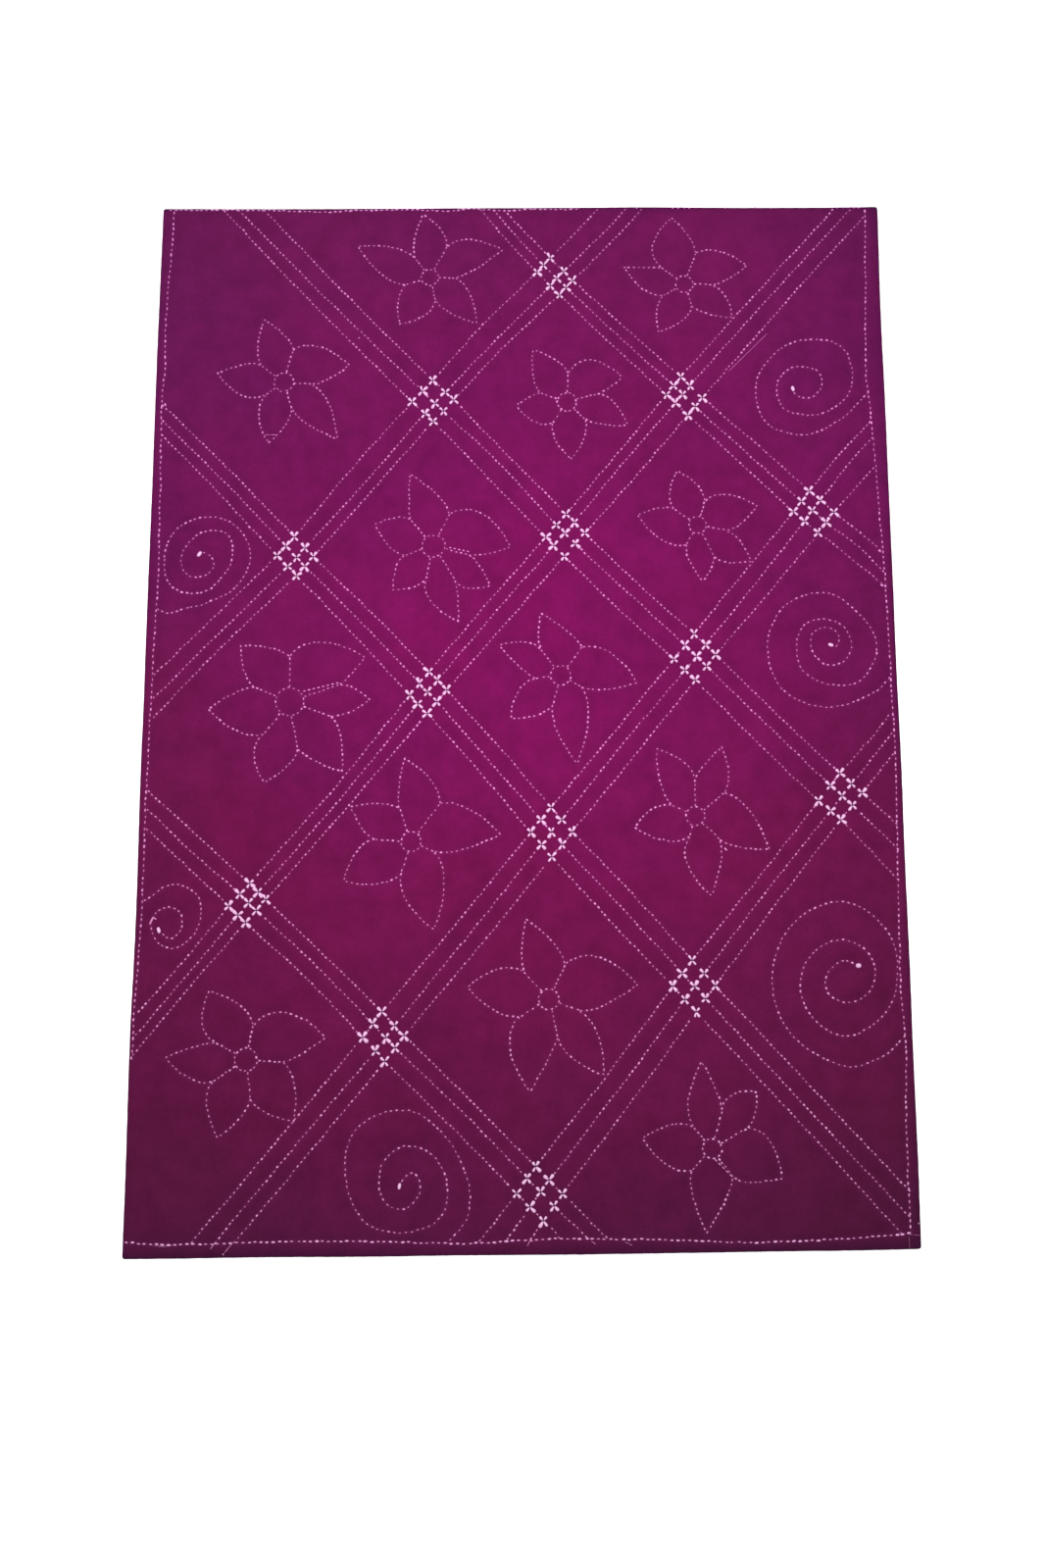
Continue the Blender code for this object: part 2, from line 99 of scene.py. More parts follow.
# %% Chart of the bands
Band = namedtuple("Band", "name starts ends bows")
BANDS = (
    Band("A", ((-446, 340), (-446, 358), (-446, 378)), ((433, -622), (443, -603), (444, -574)),
         ((1, 1.5, 1.5, -1, 1.5), (1.5, 1.5, 0, 0.5, -1), (2, 1.5, 1.5, 2, 0))),
    Band("B", ((-378, 638), (-359, 638), (-326, 638)), ((446, -218), (448, -182), (448, -152)),
         ((-2.5, 0, -2, -1.5, 0.5), (-1.5, 3, 0, 0, 0), (-2, -0.5, -2, -1, 0))),
    Band("C", ((-51, 638), (-35, 638), (-21, 638)), ((446, 140), (445, 159), (442, 186)),
         ((-1.5, -1, 0, 1), (-1, -0.5, -0.5, 3), (-0.5, -0.5, 1, 1))),
    Band("D", ((-446, -150), (-446, -127), (-446, -105)), ((42, -622), (73, -622), (96, -623)),
         ((0, 3.5, 1, 0), (-1.5, 2.5, 2, 0), (0, 0.5, 1, 0))),
    Band("a", ((-445, 35), (-444, 7), (-444, -17)), ((99, 638), (134, 638), (155, 638)),
         ((-0.5, 2, 3, 0), (0.5, -1.5, 1, -1), (2, 0, 3, -1))),
    Band("b", ((-448, -365), (-449, -391), (-452, -414)), ((400, 637), (421, 637), (438, 627)),
         ((-1.5, -3.5, 1, -0.5, 1), (0, -2.5, 1, 1.5, 1), (1, -1, -0.5, -1, 1.5))),
    Band("c", ((-377, -623), (-351, -624), (-329, -624)), ((436, 353), (438, 333), (438, 293)),
         ((-0.5, -1, -0.5, 0, 2), (1, -0.5, 1.5, -0.5, 2), (0, -1.5, -0.5, -1, 0))),
    Band("d", ((-50, -625), (-18, -624), (8, -624)), ((444, -19), (446, -41), (447, -66)),
         ((0, -2, -1, -1), (0, -1, 1.5, -0.5), (0, -1, 1, 0))),
)

# Where a falling and a rising band cross there are nine crossings, on a slanted three by three.
Cluster = namedtuple("Cluster", "falling rising x y rise_dx rise_dy fall_dx fall_dy mid_fall mid_rise")
CLUSTERS = (
    #       bands      centre      step up a row   step down a row  middle rows
    Cluster("A", "a", -277, 183, 10.2, 11.8, 11.9, -12.7, 0, 2),
    Cluster("A", "b", -113, 12, 11.7, 14.4, 10.7, -11.3, 0, -1),
    Cluster("A", "c", 35, -158, 12.3, 14.7, 12.4, -14.7, 0, 0),
    Cluster("A", "d", 201, -340, 11.6, 15.0, 13.4, -14.8, 0, 1),
    Cluster("B", "a", -110, 382, 12.7, 14.1, 13.2, -12.9, 0, 4),
    Cluster("B", "b", 54, 208, 12.7, 14.7, 11.4, -12.1, 1, -2),
    Cluster("B", "c", 210, 54, 12.7, 15.6, 12.8, -13.0, 2, 1),
    Cluster("B", "d", 381, -118, 13.3, 16.2, 12.9, -11.8, 2, 1),
    Cluster("C", "a", 43, 547, 8.4, 9.6, 14.3, -15.3, 0, 4),
    Cluster("C", "b", 204, 387, 9.3, 11.5, 13.3, -13.6, 0, -3),
    Cluster("C", "c", 361, 236, 10.2, 13.2, 14.9, -13.6, 0, -2),
    Cluster("D", "b", -324, -239, 11.7, 13.3, 9.9, -9.7, 1, 1),
    Cluster("D", "c", -162, -395, 11.1, 14.6, 13.1, -13.7, 1, 3),
    Cluster("D", "d", 19, -573, 11.0, 14.8, 15.3, -15.3, 2, 0),
)
print(len(BANDS), "bands of three rows,", len(CLUSTERS) * 9, "crossings")

# %% [markdown]
# A flower is a ring with leaf-shaped petals.  Each petal is given by the angle and the reach of
# its tip, the same for the fork where it parts from the next petal, and how far its two edges bow
# out.  Each flower was sewn by eye, so no two are alike, and a single flower copied thirteen times
# would look printed.

# %% Chart of the flowers
Petal = namedtuple("Petal", "turn reach fork_turn fork_reach bow_before bow_after")
Flower = namedtuple("Flower", "x y ring petals")
FLOWERS = (
    Flower(-296, 408, 12, ((15, 84, 76, 43, 4, 13), (108, 86, 143, 36, 5, 6), (172, 84, 218, 28, 5, 13),
        (258, 82, 286, 37, 10, 5), (312, 101, 354, 35, 5, 9))),
    Flower(-115, 546, 11, ((22, 99, 63, 47, 4, 11), (96, 86, 126, 32, 6, 5), (155, 101, 198, 32, 8, 9),
        (239, 73, 283, 32, 6, 8), (314, 85, 360, 32, 5, 8))),
    Flower(207, 536, 11, ((17, 83, 70, 45, 3, 10), (99, 92, 142, 37, 4, 16), (163, 80, 209, 32, 0, 8),
        (242, 72, 287, 29, 5, 8), (323, 75, 358, 36, 5, 6))),
    Flower(57, 380, 12, ((25, 77, 87, 37, 2, 20), (121, 80, 160, 35, 6, 6), (184, 63, 236, 33, 2, 9),
        (274, 75, 315, 32, 6, 6), (338, 81, 376, 39, 4, 8))),
    Flower(-108, 195, 14, ((108, 97, 130, 44, 5, 2), (159, 77, 198, 37, 5, 6), (228, 74, 259, 38, 5, 7),
        (288, 100, 301, 50, 14, 2), (324, 86, 345, 44, 7, 4), (359, 95, 424, 46, 3, 19))),
    Flower(217, 220, 11, ((18, 78, 72, 32, 5, 11), (109, 74, 144, 35, 6, 7), (170, 75, 240, 28, 4, 11),
        (274, 71, 296, 44, 5, 3), (324, 80, 349, 36, 5, 5))),
    Flower(-280, 2, 17, ((1, 97, 19, 63, 4, 4), (31, 105, 91, 56, 2, 18), (131, 92, 157, 46, 4, 6),
        (185, 98, 233, 49, 4, 10), (254, 102, 281, 58, 12, 6), (307, 107, 340, 53, 4, 7))),
    Flower(47, 32, 12, ((107, 81, 126, 41, 3, 3), (153, 83, 186, 31, 7, 3), (221, 80, 256, 36, 9, 6),
        (280, 109, 330, 28, 8, 11), (354, 93, 413, 44, 5, 13))),
    Flower(-132, -168, 12, ((4, 106, 53, 56, 6, 10), (95, 100, 110, 42, 9, 3), (150, 84, 176, 43, 5, 4),
        (210, 92, 254, 38, 8, 9), (285, 108, 336, 30, 11, 12))),
    Flower(207, -140, 11, ((68, 90, 90, 40, 6, 4), (119, 93, 155, 31, 10, 6), (190, 74, 253, 25, 8, 10),
        (280, 96, 315, 40, 14, 5), (335, 96, 398, 45, 4, 10))),
    Flower(-321, -420, 13, ((15, 95, 79, 40, 3, 20), (120, 91, 151, 41, 9, 12),
        (178, 93, 213, 45, 3, 8), (251, 93, 278, 44, 9, 5), (309, 90, 356, 42, 6, 9))),
    Flower(31, -354, 12, ((9, 105, 65, 45, 6, 18), (106, 97, 132, 44, 6, 3), (171, 97, 210, 39, 10, 8),
        (258, 107, 283, 45, 17, 1), (306, 107, 339, 38, 8, 10))),
    Flower(218, -525, 11, ((50, 83, 74, 44, 5, 10), (96, 99, 131, 32, 3, 9), (171, 81, 225, 34, 8, 10),
        (265, 93, 306, 40, 6, 3), (337, 86, 389, 47, 5, 13))),
)
FORK_HANDLE, TIP_HANDLE = 0.22, 0.34      # of the chord, along it
FORK_BULGE, TIP_BULGE = 1.60, 1.07        # of the bow, across it
print(len(FLOWERS), "flowers,", sum(len(flower.petals) for flower in FLOWERS), "petals")

# %% [markdown]
# A spiral leaves its knot and widens by eighths of a turn until it runs into the hem.  The hem
# is a row of stitches along each side, and its distance from the edge is given at a few places.

# %% Chart of the spirals and the hem
Spiral = namedtuple("Spiral", "knot centre turn start radii tails")
SPIRALS = (
    Spiral((340, 396), (355, 400), 1, 225,
           (16, 16, 18, 22, 25, 25, 30, 35, 40, 39, 45, 59, 70, 60, 56, 61, 69, 64, 62),
           ((418, 374), (436, 392))),
    Spiral((-394, 186), (-388, 182), -1, 90,
           (6, 6, 9, 16, 23, 30, 28, 27, 33, 40, 34, 33, 44, 53, 49, 50, 51, 55, 56, 54, 59),
           ((-408, 119), (-431, 112), (-445, 118))),
    Spiral((376, 68), (371, 67), 1, 0,
           (12, 20, 23, 23, 19, 19, 24, 28, 30, 32, 33, 37, 37, 42, 48, 59, 61, 57, 66, 70, 72,
            77, 76, 81), ((447, 28),)),
    Spiral((-427, -270), (-414, -260), 1, 270,
           (20, 16, 14, 15, 17, 19, 22, 26, 31, 31, 35, 43, 43, 38), ((-447, -236),)),
    Spiral((395, -318), (377, -333), 1, 90,
           (21, 18, 21, 25, 27, 31, 37, 42, 45, 46, 50, 58, 66, 62, 63, 77, 90, 86, 84, 90, 101),
           ((415, -425), (431, -414), (447, -398))),
    Spiral((-141, -563), (-136, -560), -1, 90,
           (6, 15, 18, 22, 29, 30, 29, 34, 41, 44, 49, 56, 54, 61, 66, 82, 82, 69, 73),
           ((-62, -591), (-69, -608), (-84, -624))),
)
HALF_WIDTH, HALF_LENGTH = 455.0, 640.0
HEM_LEFT = ((636, 14), (596, 14), (550, 11), (517, 10), (490, 9), (425, 10), (385, 8), (321, 9),
            (265, 10), (192, 11), (163, 12), (132, 11), (50, 9), (-41, 8), (-97, 7), (-230, 7),
            (-276, 6), (-305, 5), (-338, 3.5), (-372, 2.6), (-418, 1.8))
HEM_TOP = ((-446, 1.9), (-345, 2.0), (-275, 4.0), (-245, 4.8), (-205, 2.6), (-165, 1.8),
           (-133, 1.8), (-95, 4.0), (-76, 1.8), (-50, 1.8), (-20, 3.4), (16, 2.2), (72, 1.8))
HEM_RIGHT = ((636, 15), (546, 18), (415, 22), (337, 17), (240, 13), (145, 9), (0, 7), (-60, 6),
             (-180, 8), (-260, 10), (-350, 11), (-410, 8), (-480, 11), (-615, 12))
HEM_BOTTOM = ((-453, 18), (-400, 15), (-265, 17), (-160, 16), (-80, 13), (-10, 15), (35, 17),
              (150, 15), (270, 11), (390, 15), (443, 19))
print(len(SPIRALS), "spirals and four stitched hems")

# %% [markdown]
# ## From chart to lines
#
# The marks become smooth lines.  Free-hand rows have no corners, so each line is a chain of short
# Bezier spans whose handles follow the way from the mark before to the mark after.  Splines drawn
# in the viewport would do as well, yet a few small functions can be used again by the cloth.

# %% Lines of the bands
EIGHTH = 45
SMOOTH_STEPS = 12


def polar(centre, degrees, reach):
    """The point at an angle and a reach from a centre."""
    angle = math.radians(degrees)
    return centre + Vector((math.cos(angle), math.sin(angle))) * reach


def curve_through(points):
    """A smooth line through the points, in Bezier spans whose handles suit each span."""
    last = len(points) - 1
    ways = [(points[min(i + 1, last)] - points[max(i - 1, 0)]).normalized()
            for i in range(last + 1)]
    line = [points[0]]
    for i in range(last):
        start, end = points[i], points[i + 1]
        third = (end - start).length / 3
        line += interpolate_bezier(start, start + ways[i] * third,
                                   end - ways[i + 1] * third, end, SMOOTH_STEPS)[1:]
    return line


def crossing(cluster, fall_row, rise_row):
    """Where one row of the falling band crosses one row of the rising band."""
    rise = Vector((cluster.rise_dx, cluster.rise_dy))
    fall = Vector((cluster.fall_dx, cluster.fall_dy))
    point = Vector((cluster.x, cluster.y)) + rise * (fall_row - 1) + fall * (rise_row - 1)
    if fall_row == 1:
        point += rise.normalized() * cluster.mid_fall
    if rise_row == 1:
        point += fall.normalized() * cluster.mid_rise
    return point


def bowed(start, end, bow):
    """The middle of a span, moved to the left of its run by its bow."""
    return (start + end) / 2 + (end - start).orthogonal().normalized() * bow


def band_rows(band):
    """The three rows of one band, each through its crossings, from the left to the right."""
    met = sorted((c for c in CLUSTERS if band.name in (c.falling, c.rising)), key=lambda c: c.x)
    falls = band.name.isupper()
    rows = []
    for row in range(3):
        points = [Vector(band.starts[row])]
        for bow, cluster in zip(band.bows[row], met):
            pairs = [(row, other) if falls else (other, row) for other in range(3)]
            crossed = [crossing(cluster, *pair) for pair in pairs]
            points += [bowed(points[-1], crossed[0], bow)] + crossed
        end = Vector(band.ends[row])
        points += [bowed(points[-1], end, band.bows[row][-1]), end]
        rows.append(curve_through(points))
    return rows


falling_lines = [line for band in BANDS if band.name.isupper() for line in band_rows(band)]
rising_lines = [line for band in BANDS if band.name.islower() for line in band_rows(band)]
print(len(falling_lines), "falling rows and", len(rising_lines), "rising rows")

# %% [markdown]
# A petal is two bowed edges that meet in a point at its tip; a spiral and a hem run smoothly
# through their marks.

# %% Lines of the flowers, the spirals and the hem
def petal_edge(fork, tip, bow):
    """One edge of a petal, from its fork to its tip, bowed to the left of its run."""
    chord = tip - fork
    out = chord.orthogonal().normalized() * bow
    return interpolate_bezier(fork, fork + chord * FORK_HANDLE + out * FORK_BULGE,
                              tip - chord * TIP_HANDLE + out * TIP_BULGE, tip, SMOOTH_STEPS)


def flower_lines(flower):
    """The ring of a flower, a stem to each fork and the outline of each petal."""
    centre = Vector((flower.x, flower.y))
    lines = [[polar(centre, degrees, flower.ring) for degrees in range(0, 361, 15)]]
    petals = [Petal(*marks) for marks in flower.petals]
    for before, petal in zip(petals[-1:] + petals[:-1], petals):
        tip = polar(centre, petal.turn, petal.reach)
        fork = polar(centre, petal.fork_turn, petal.fork_reach)
        fork_before = polar(centre, before.fork_turn, before.fork_reach)
        lines.append([polar(centre, petal.fork_turn, flower.ring), fork])
        back = petal_edge(fork, tip, petal.bow_after)[::-1]
        lines.append(petal_edge(fork_before, tip, -petal.bow_before) + back[1:])
    return lines


def spiral_line(spiral):
    """A spiral from its knot out to the hem, on a smooth curve through its eighths."""
    centre = Vector(spiral.centre)
    points = [Vector(spiral.knot)]
    for i, radius in enumerate(spiral.radii):
        points.append(polar(centre, spiral.start + spiral.turn * EIGHTH * i, radius))
    return curve_through(points + [Vector(tail) for tail in spiral.tails])


side_hems = [curve_through([Vector((inset - HALF_WIDTH, along)) for along, inset in HEM_LEFT]),
             curve_through([Vector((HALF_WIDTH - inset, along)) for along, inset in HEM_RIGHT])]
end_hems = [curve_through([Vector((along, inset - HALF_LENGTH)) for along, inset in HEM_BOTTOM]),
            curve_through([Vector((along, HALF_LENGTH - inset)) for along, inset in HEM_TOP])]
petal_lines = [line for flower in FLOWERS for line in flower_lines(flower)]
spiral_lines = [spiral_line(spiral) for spiral in SPIRALS]
print(len(petal_lines), "lines in the flowers,", len(spiral_lines), "spirals")

# %% [markdown]
# ## Where the needle went in
#
# A running stitch goes down, along underneath and up again, so a row on the face is a line of
# dashes.  Here a dash and its gap take about six millimetres.  Hand sewing is never even: each
# stitch is a little longer, fatter or brighter than the last, and a whole row may have been pulled
# tight or left slack.  An array modifier would space them like a machine, so each stitch gets its
# own place with a small seeded change instead.

# %% Places of the stitches
PITCH = 6.15 * MM
HEM_PITCH, END_PITCH = 7.1 * MM, 6.8 * MM
SPIRAL_PITCH = 6.5 * MM
STITCH = 2.7 * MM
DASH_PART, SIDE_PART, END_PART = 0.43, 0.50, 0.60      # of a pitch, the rest is its gap
ROW_END, PETAL_END = 1.4 * MM, 2.6 * MM    # from the end of a row to the middle of a stitch
CROSS_CLEAR, KNOT_CLEAR = 8.8 * MM, 6.8 * MM
ROW_STRAY, STRAY_LENGTH = 0.9 * MM, 26 * MM
SLACK_LENGTH, SLACK_SHARE = 30 * MM, 0.6   # how soon a row changes from tight to slack
SLACK_APART = Vector((0, 0, 5))            # a place of its own in the noise
END_BRIGHTER = 0.3                         # the end hems are sewn in fresher thread

# what a whole row keeps: its step, how hard it was pulled and how light its thread is
ROW_STEP, ROW_PULL, ROW_TONE = (0.95, 1.05), (0.92, 1.08), (0.86, 1.0)
# what changes from stitch to stitch: part of a step, millimetres to the side, radians
STEP_STRAY, SIDE_STRAY, TURN_STRAY = 0.07, 0.26, 0.07
# a size of its own: at the least, what boldness adds, and the spread
DASH_LENGTHS, DASH_WIDTHS = (0.84, 0.32, 0.08), (0.76, 0.44, 0.06)
DULLEST, BOLD_SHADE, CHANCE_SHADE = 0.05, 0.60, 0.40

Dash = namedtuple("Dash", "at way length width shade")
hand = random.Random(27)


def on_cloth(line):
    """A line of the chart, turned from millimetres to metres."""
    return [Vector(point) * MM for point in line]


def measured(line):
    """The distance of each point of a line from its start."""
    lengths = [0.0]
    for a, b in zip(line, line[1:]):
        lengths.append(lengths[-1] + (b - a).length)
    return lengths


def found_at(line, lengths, target):
    """The point and the way of a line at a distance from its start."""
    low, high = 0, len(line) - 2
    while low < high:
        span = (low + high) // 2
        if lengths[span + 1] < target:
            low = span + 1
        else:
            high = span
    a, b = line[low], line[low + 1]
    part = (target - lengths[low]) / max(lengths[low + 1] - lengths[low], 1e-9)
    return a.lerp(b, min(max(part, 0.0), 1.0)), (b - a).normalized()


def strayed(at):
    """How far a row strays to its side at a place, in a slow wave."""
    return ROW_STRAY * noise.noise((at / STRAY_LENGTH).to_3d())


def varied(least, more, spread, bold):
    """A size that grows with boldness and strays a little by chance."""
    return least + more * bold + hand.gauss(0, spread)


def dashes_along(line, pitch, part, end, first):
    """The stitches of one row, each a little off the even step."""
    lengths = measured(line)
    if (line[-1] - line[0]).length < MM:
        end = first = pitch / 2
    room = max(lengths[-1] - first - end, pitch)
    count = round(room / (pitch * hand.uniform(*ROW_STEP)))
    pull, tone = hand.uniform(*ROW_PULL), hand.uniform(*ROW_TONE)
    dashes = []
    for i in range(count + 1):
        step = i + hand.gauss(0, STEP_STRAY)
        at, way = found_at(line, lengths, first + step * room / count)
        side = way.orthogonal() * (hand.gauss(0, SIDE_STRAY) * MM + strayed(at))
        slack = noise.noise((at / SLACK_LENGTH).to_3d() + SLACK_APART)
        bold = min(max(hand.random() + SLACK_SHARE * slack, 0.0), 1.0)
        turned = Matrix.Rotation(hand.gauss(0, TURN_STRAY), 2) @ way
        length = part * pitch * varied(*DASH_LENGTHS, bold)
        width = pull * varied(*DASH_WIDTHS, bold ** 2)
        shade = tone * (DULLEST + BOLD_SHADE * bold ** 2 + CHANCE_SHADE * hand.random())
        dashes.append(Dash(at + side, turned, length, width, min(1.0, shade)))
    return dashes


print("a stitch each", round(PITCH / MM, 2), "mm, the visible dash", round(STITCH / MM, 1), "mm")

# %% [markdown]
# At a crossing the two rows make room for a cross, so no running stitch is sewn near it.

# %% Rows of stitches
def spread(points):
    """A finder of the nearest of many points."""
    tree = KDTree(len(points))
    for i, point in enumerate(points):
        tree.insert(point.to_3d(), i)
    tree.balance()
    return tree


crossings = [crossing(cluster, fall_row, rise_row) * MM
             for cluster in CLUSTERS for fall_row in range(3) for rise_row in range(3)]
crossing_finder = spread(crossings)


def rows_of(lines, pitch, part=DASH_PART, end=ROW_END, first=None, clear=0.0):
    """The stitches of several rows, none nearer to a crossing than the clear distance."""
    dashes = [dash for line in lines
              for dash in dashes_along(on_cloth(line), pitch, part, end, first or end)]
    return [dash for dash in dashes if crossing_finder.find(dash.at.to_3d())[2] > clear]


falling_dashes = rows_of(falling_lines, PITCH, clear=CROSS_CLEAR)
rising_dashes = rows_of(rising_lines, PITCH, clear=CROSS_CLEAR)
petal_dashes = rows_of(petal_lines, PITCH, end=PETAL_END)
spiral_dashes = rows_of(spiral_lines, SPIRAL_PITCH, end=PETAL_END, first=KNOT_CLEAR)
hem_dashes = rows_of(side_hems, HEM_PITCH, SIDE_PART)
hem_dashes += [dash._replace(shade=min(1.0, dash.shade + END_BRIGHTER))
               for dash in rows_of(end_hems, END_PITCH, END_PART)]
running = falling_dashes + rising_dashes + petal_dashes + spiral_dashes + hem_dashes
print(len(running), "running stitches")

# %% [markdown]
# ## How straight the edges are
#
# No hand-sewn quilt has ruler-straight sides.  Each side strays out from the true rectangle in a
# slow wave of its own, and the hem has drawn the lower right corner in a little.  The cloth, its
# hem and the painted shade near the hems can all ask how near the edge is.

# %% Stray of the edges
FOLD = 1.0 * MM           # how far the rounded fold of the hem bulges
RIGHT, TOP, LEFT, BOTTOM = range(4)
WANDER_MEAN, WANDER_SWING, WANDER_MOST = 0.6, 1.6, 1.5     # millimetres out
WANDER_LENGTH = 190                                        # millimetres along, to a new swing
SIDES_APART, WANDER_APART = 7.3, 2                         # in the noise: no two waves alike
CORNER_DRAWN_IN, CORNER_REACH = 2.2, 90


def wander(side, along):
    """How far out the edge lies at a place along one side."""
    place = Vector((along / WANDER_LENGTH, SIDES_APART * side, WANDER_APART))
    out = WANDER_MEAN + WANDER_SWING * noise.noise(place)
    if side == BOTTOM:
        out -= CORNER_DRAWN_IN * math.exp((along - HALF_WIDTH) / CORNER_REACH)
    return min(out, WANDER_MOST)


def edge_distance(point):
    """How far inside the nearest edge a point lies."""
    x, y = point / MM
    return MM * min(HALF_WIDTH + wander(RIGHT, y) - x, HALF_LENGTH + wander(TOP, x) - y,
                    HALF_WIDTH + wander(LEFT, y) + x, HALF_LENGTH + wander(BOTTOM, x) + y)


print("corner to nearest edge:", round(edge_distance(Vector((0.45, 0.63))) / MM, 1), "mm")

# %% [markdown]
# ## The quilted face
#
# The layers lie thin along each row and puff up between rows.  Close to, every single stitch
# pulls a small dent and the cloth swells again in the gap before the next one; that ripple is
# what makes a kantha look like a kantha.  A fine even grid with a displacement texture could carry
# it, yet the ripple would then miss the stitches.  So the height at any point is worked out from
# the rows, the stitches and a few soft folds, and used for the cloth and the thread alike.

# %% Heights of the quilted face
SEAM = 2.0 * MM           # thickness where a stitch holds the layers together
CROWN = 3.0 * MM          # thickness where they lie free between the rows
FULL_CROWN_AT = 11.0 * MM
BILLOW, BILLOW_LENGTH = 0.30 * MM, 60 * MM
RUMPLE, RUMPLE_LENGTH = 0.16 * MM, 17 * MM
RUMPLE_APART = Vector((7, 3, 1))
DENT, DENT_REACH = 0.42 * MM, 2.0 * MM
SWELL, SWELL_REACH = 0.32 * MM, 2.2 * MM
HOLE, HOLE_REACH = 1.0 * MM, 1.7 * MM
EDGE, RIM = 2.4 * MM, 3.2 * MM      # height of the fold's crest, and how far in it levels out
THINNEST = 0.9 * MM
BELL_END = 2.4            # reaches from a dent's middle to where it no longer counts
CREASE_END = 0.05         # part of a crease's length, at each end, that stays at its lowest
SEAM_STEP = 1.2 * MM

Crease = namedtuple("Crease", "x0 y0 x1 y1 half_width height")
CREASES = (
    Crease(-440, 358, -300, 353, 7, 0.6),
    Crease(-436, 625, -432, 470, 6, 0.7),
    Crease(-452, 560, -440, 420, 6, 0.5),
    Crease(262, 604, 352, 622, 7, 0.5),
    Crease(280, 626, 345, 632, 5, 0.4),
    Crease(30, -470, 96, -452, 12, 0.6),
    Crease(282, -40, 276, -150, 16, 0.6),
    Crease(60, 0, 20, -95, 14, 0.4),
    Crease(-430, -60, -340, -105, 18, 0.5),
)


def crease_height(point):
    """How far the soft creases lift the cloth at a point."""
    height = 0.0
    for crease in CREASES:
        start = Vector((crease.x0, crease.y0)) * MM
        run = Vector((crease.x1, crease.y1)) * MM - start
        part = min(max((point - start).dot(run) / run.length_squared, 0.0), 1.0)
        away = (point - start - run * part).length / (crease.half_width * MM)
        fade = math.sin(math.pi * min(max(part, CREASE_END), 1 - CREASE_END))
        height += crease.height * MM * fade * math.exp(-away * away)
    return height


def walk(line, step):
    """Points at even steps along a line, both ends kept."""
    lengths = measured(line)
    count = max(1, round(lengths[-1] / step))
    return [found_at(line, lengths, lengths[-1] * i / count)[0] for i in range(count + 1)]


every_line = falling_lines + rising_lines + petal_lines + spiral_lines + side_hems + end_hems
seam_finder = spread([point for line in every_line for point in walk(on_cloth(line), SEAM_STEP)])
dent_finder = spread([dash.at for dash in running])
print("rows in all:", round(sum(measured(on_cloth(line))[-1] for line in every_line), 1), "m")

# %% [markdown]
# The cloth swells half-way between one stitch of a row and the next, so those places are found
# once, from neighbours that are about a pitch apart.

# %% Dents and swells
NEIGHBOURS = 1.7 * PITCH


def neighbours(dashes):
    """The places of each two stitches that follow each other in a row."""
    return [(a.at, b.at) for a, b in zip(dashes, dashes[1:]) if (a.at - b.at).length < NEIGHBOURS]


gaps = [(a + b) / 2 for a, b in neighbours(running)]
swell_finder = spread(gaps)


def bell(finder, point, reach):
    """The summed nearness of a point to a set of places, one at the place itself."""
    return sum(math.exp(-(away / reach) ** 2)
               for _, _, away in finder.find_range(point.to_3d(), BELL_END * reach))


def height_at(point):
    """Height of the quilted face at a point."""
    away = seam_finder.find(point.to_3d())[2]
    ease = math.sin(min(away / FULL_CROWN_AT, 1.0) * math.pi / 2)
    billow = BILLOW * noise.noise((point / BILLOW_LENGTH).to_3d())
    rumple = RUMPLE * noise.noise((point / RUMPLE_LENGTH).to_3d() + RUMPLE_APART)
    height = SEAM + (CROWN - SEAM + billow + rumple) * ease + crease_height(point) * ease
    height -= DENT * bell(dent_finder, point, DENT_REACH)
    height += SWELL * bell(swell_finder, point, SWELL_REACH)
    height -= HOLE * bell(crossing_finder, point, HOLE_REACH)
    rim = min(max((edge_distance(point) - FOLD) / (RIM - FOLD), 0.0), 1.0)
    return EDGE + (max(height, THINNEST) - EDGE) * rim


print(len(gaps), "swells between stitches")

# %% [markdown]
# ## Cutting the cloth
#
# The cloth is one piece with a turned hem, so it is one closed mesh.  Its points are pricked where
# the shape needs them: on each stitch and each gap, in two rows beside them, and only thinly where
# the cloth lies plain.  A triangulation then joins them.  Extruding a grid and pulling it about
# would need many times the faces for the same ripple.

# %% Edge of the cloth
CORNER_RADIUS = 3 * MM
OUTLINE_STEP = 6 * MM
BEADING, BEADING_LENGTH = 0.30, 9          # millimetres
BEADING_APART = 3.7


def beading(along):
    """The slight in and out of a hem that a row of stitches has drawn in."""
    return BEADING * noise.noise(Vector((along / BEADING_LENGTH, BEADING_APART, 0)))


def corner(x_sign, y_sign, x_side, y_side):
    """The centre of one rounded corner, moved by what its two sides stray."""
    half_x = HALF_WIDTH * MM - FOLD - CORNER_RADIUS
    half_y = HALF_LENGTH * MM - FOLD - CORNER_RADIUS
    return Vector((x_sign * (half_x + wander(x_side, y_sign * half_y / MM) * MM),
                   y_sign * (half_y + wander(y_side, x_sign * half_x / MM) * MM)))


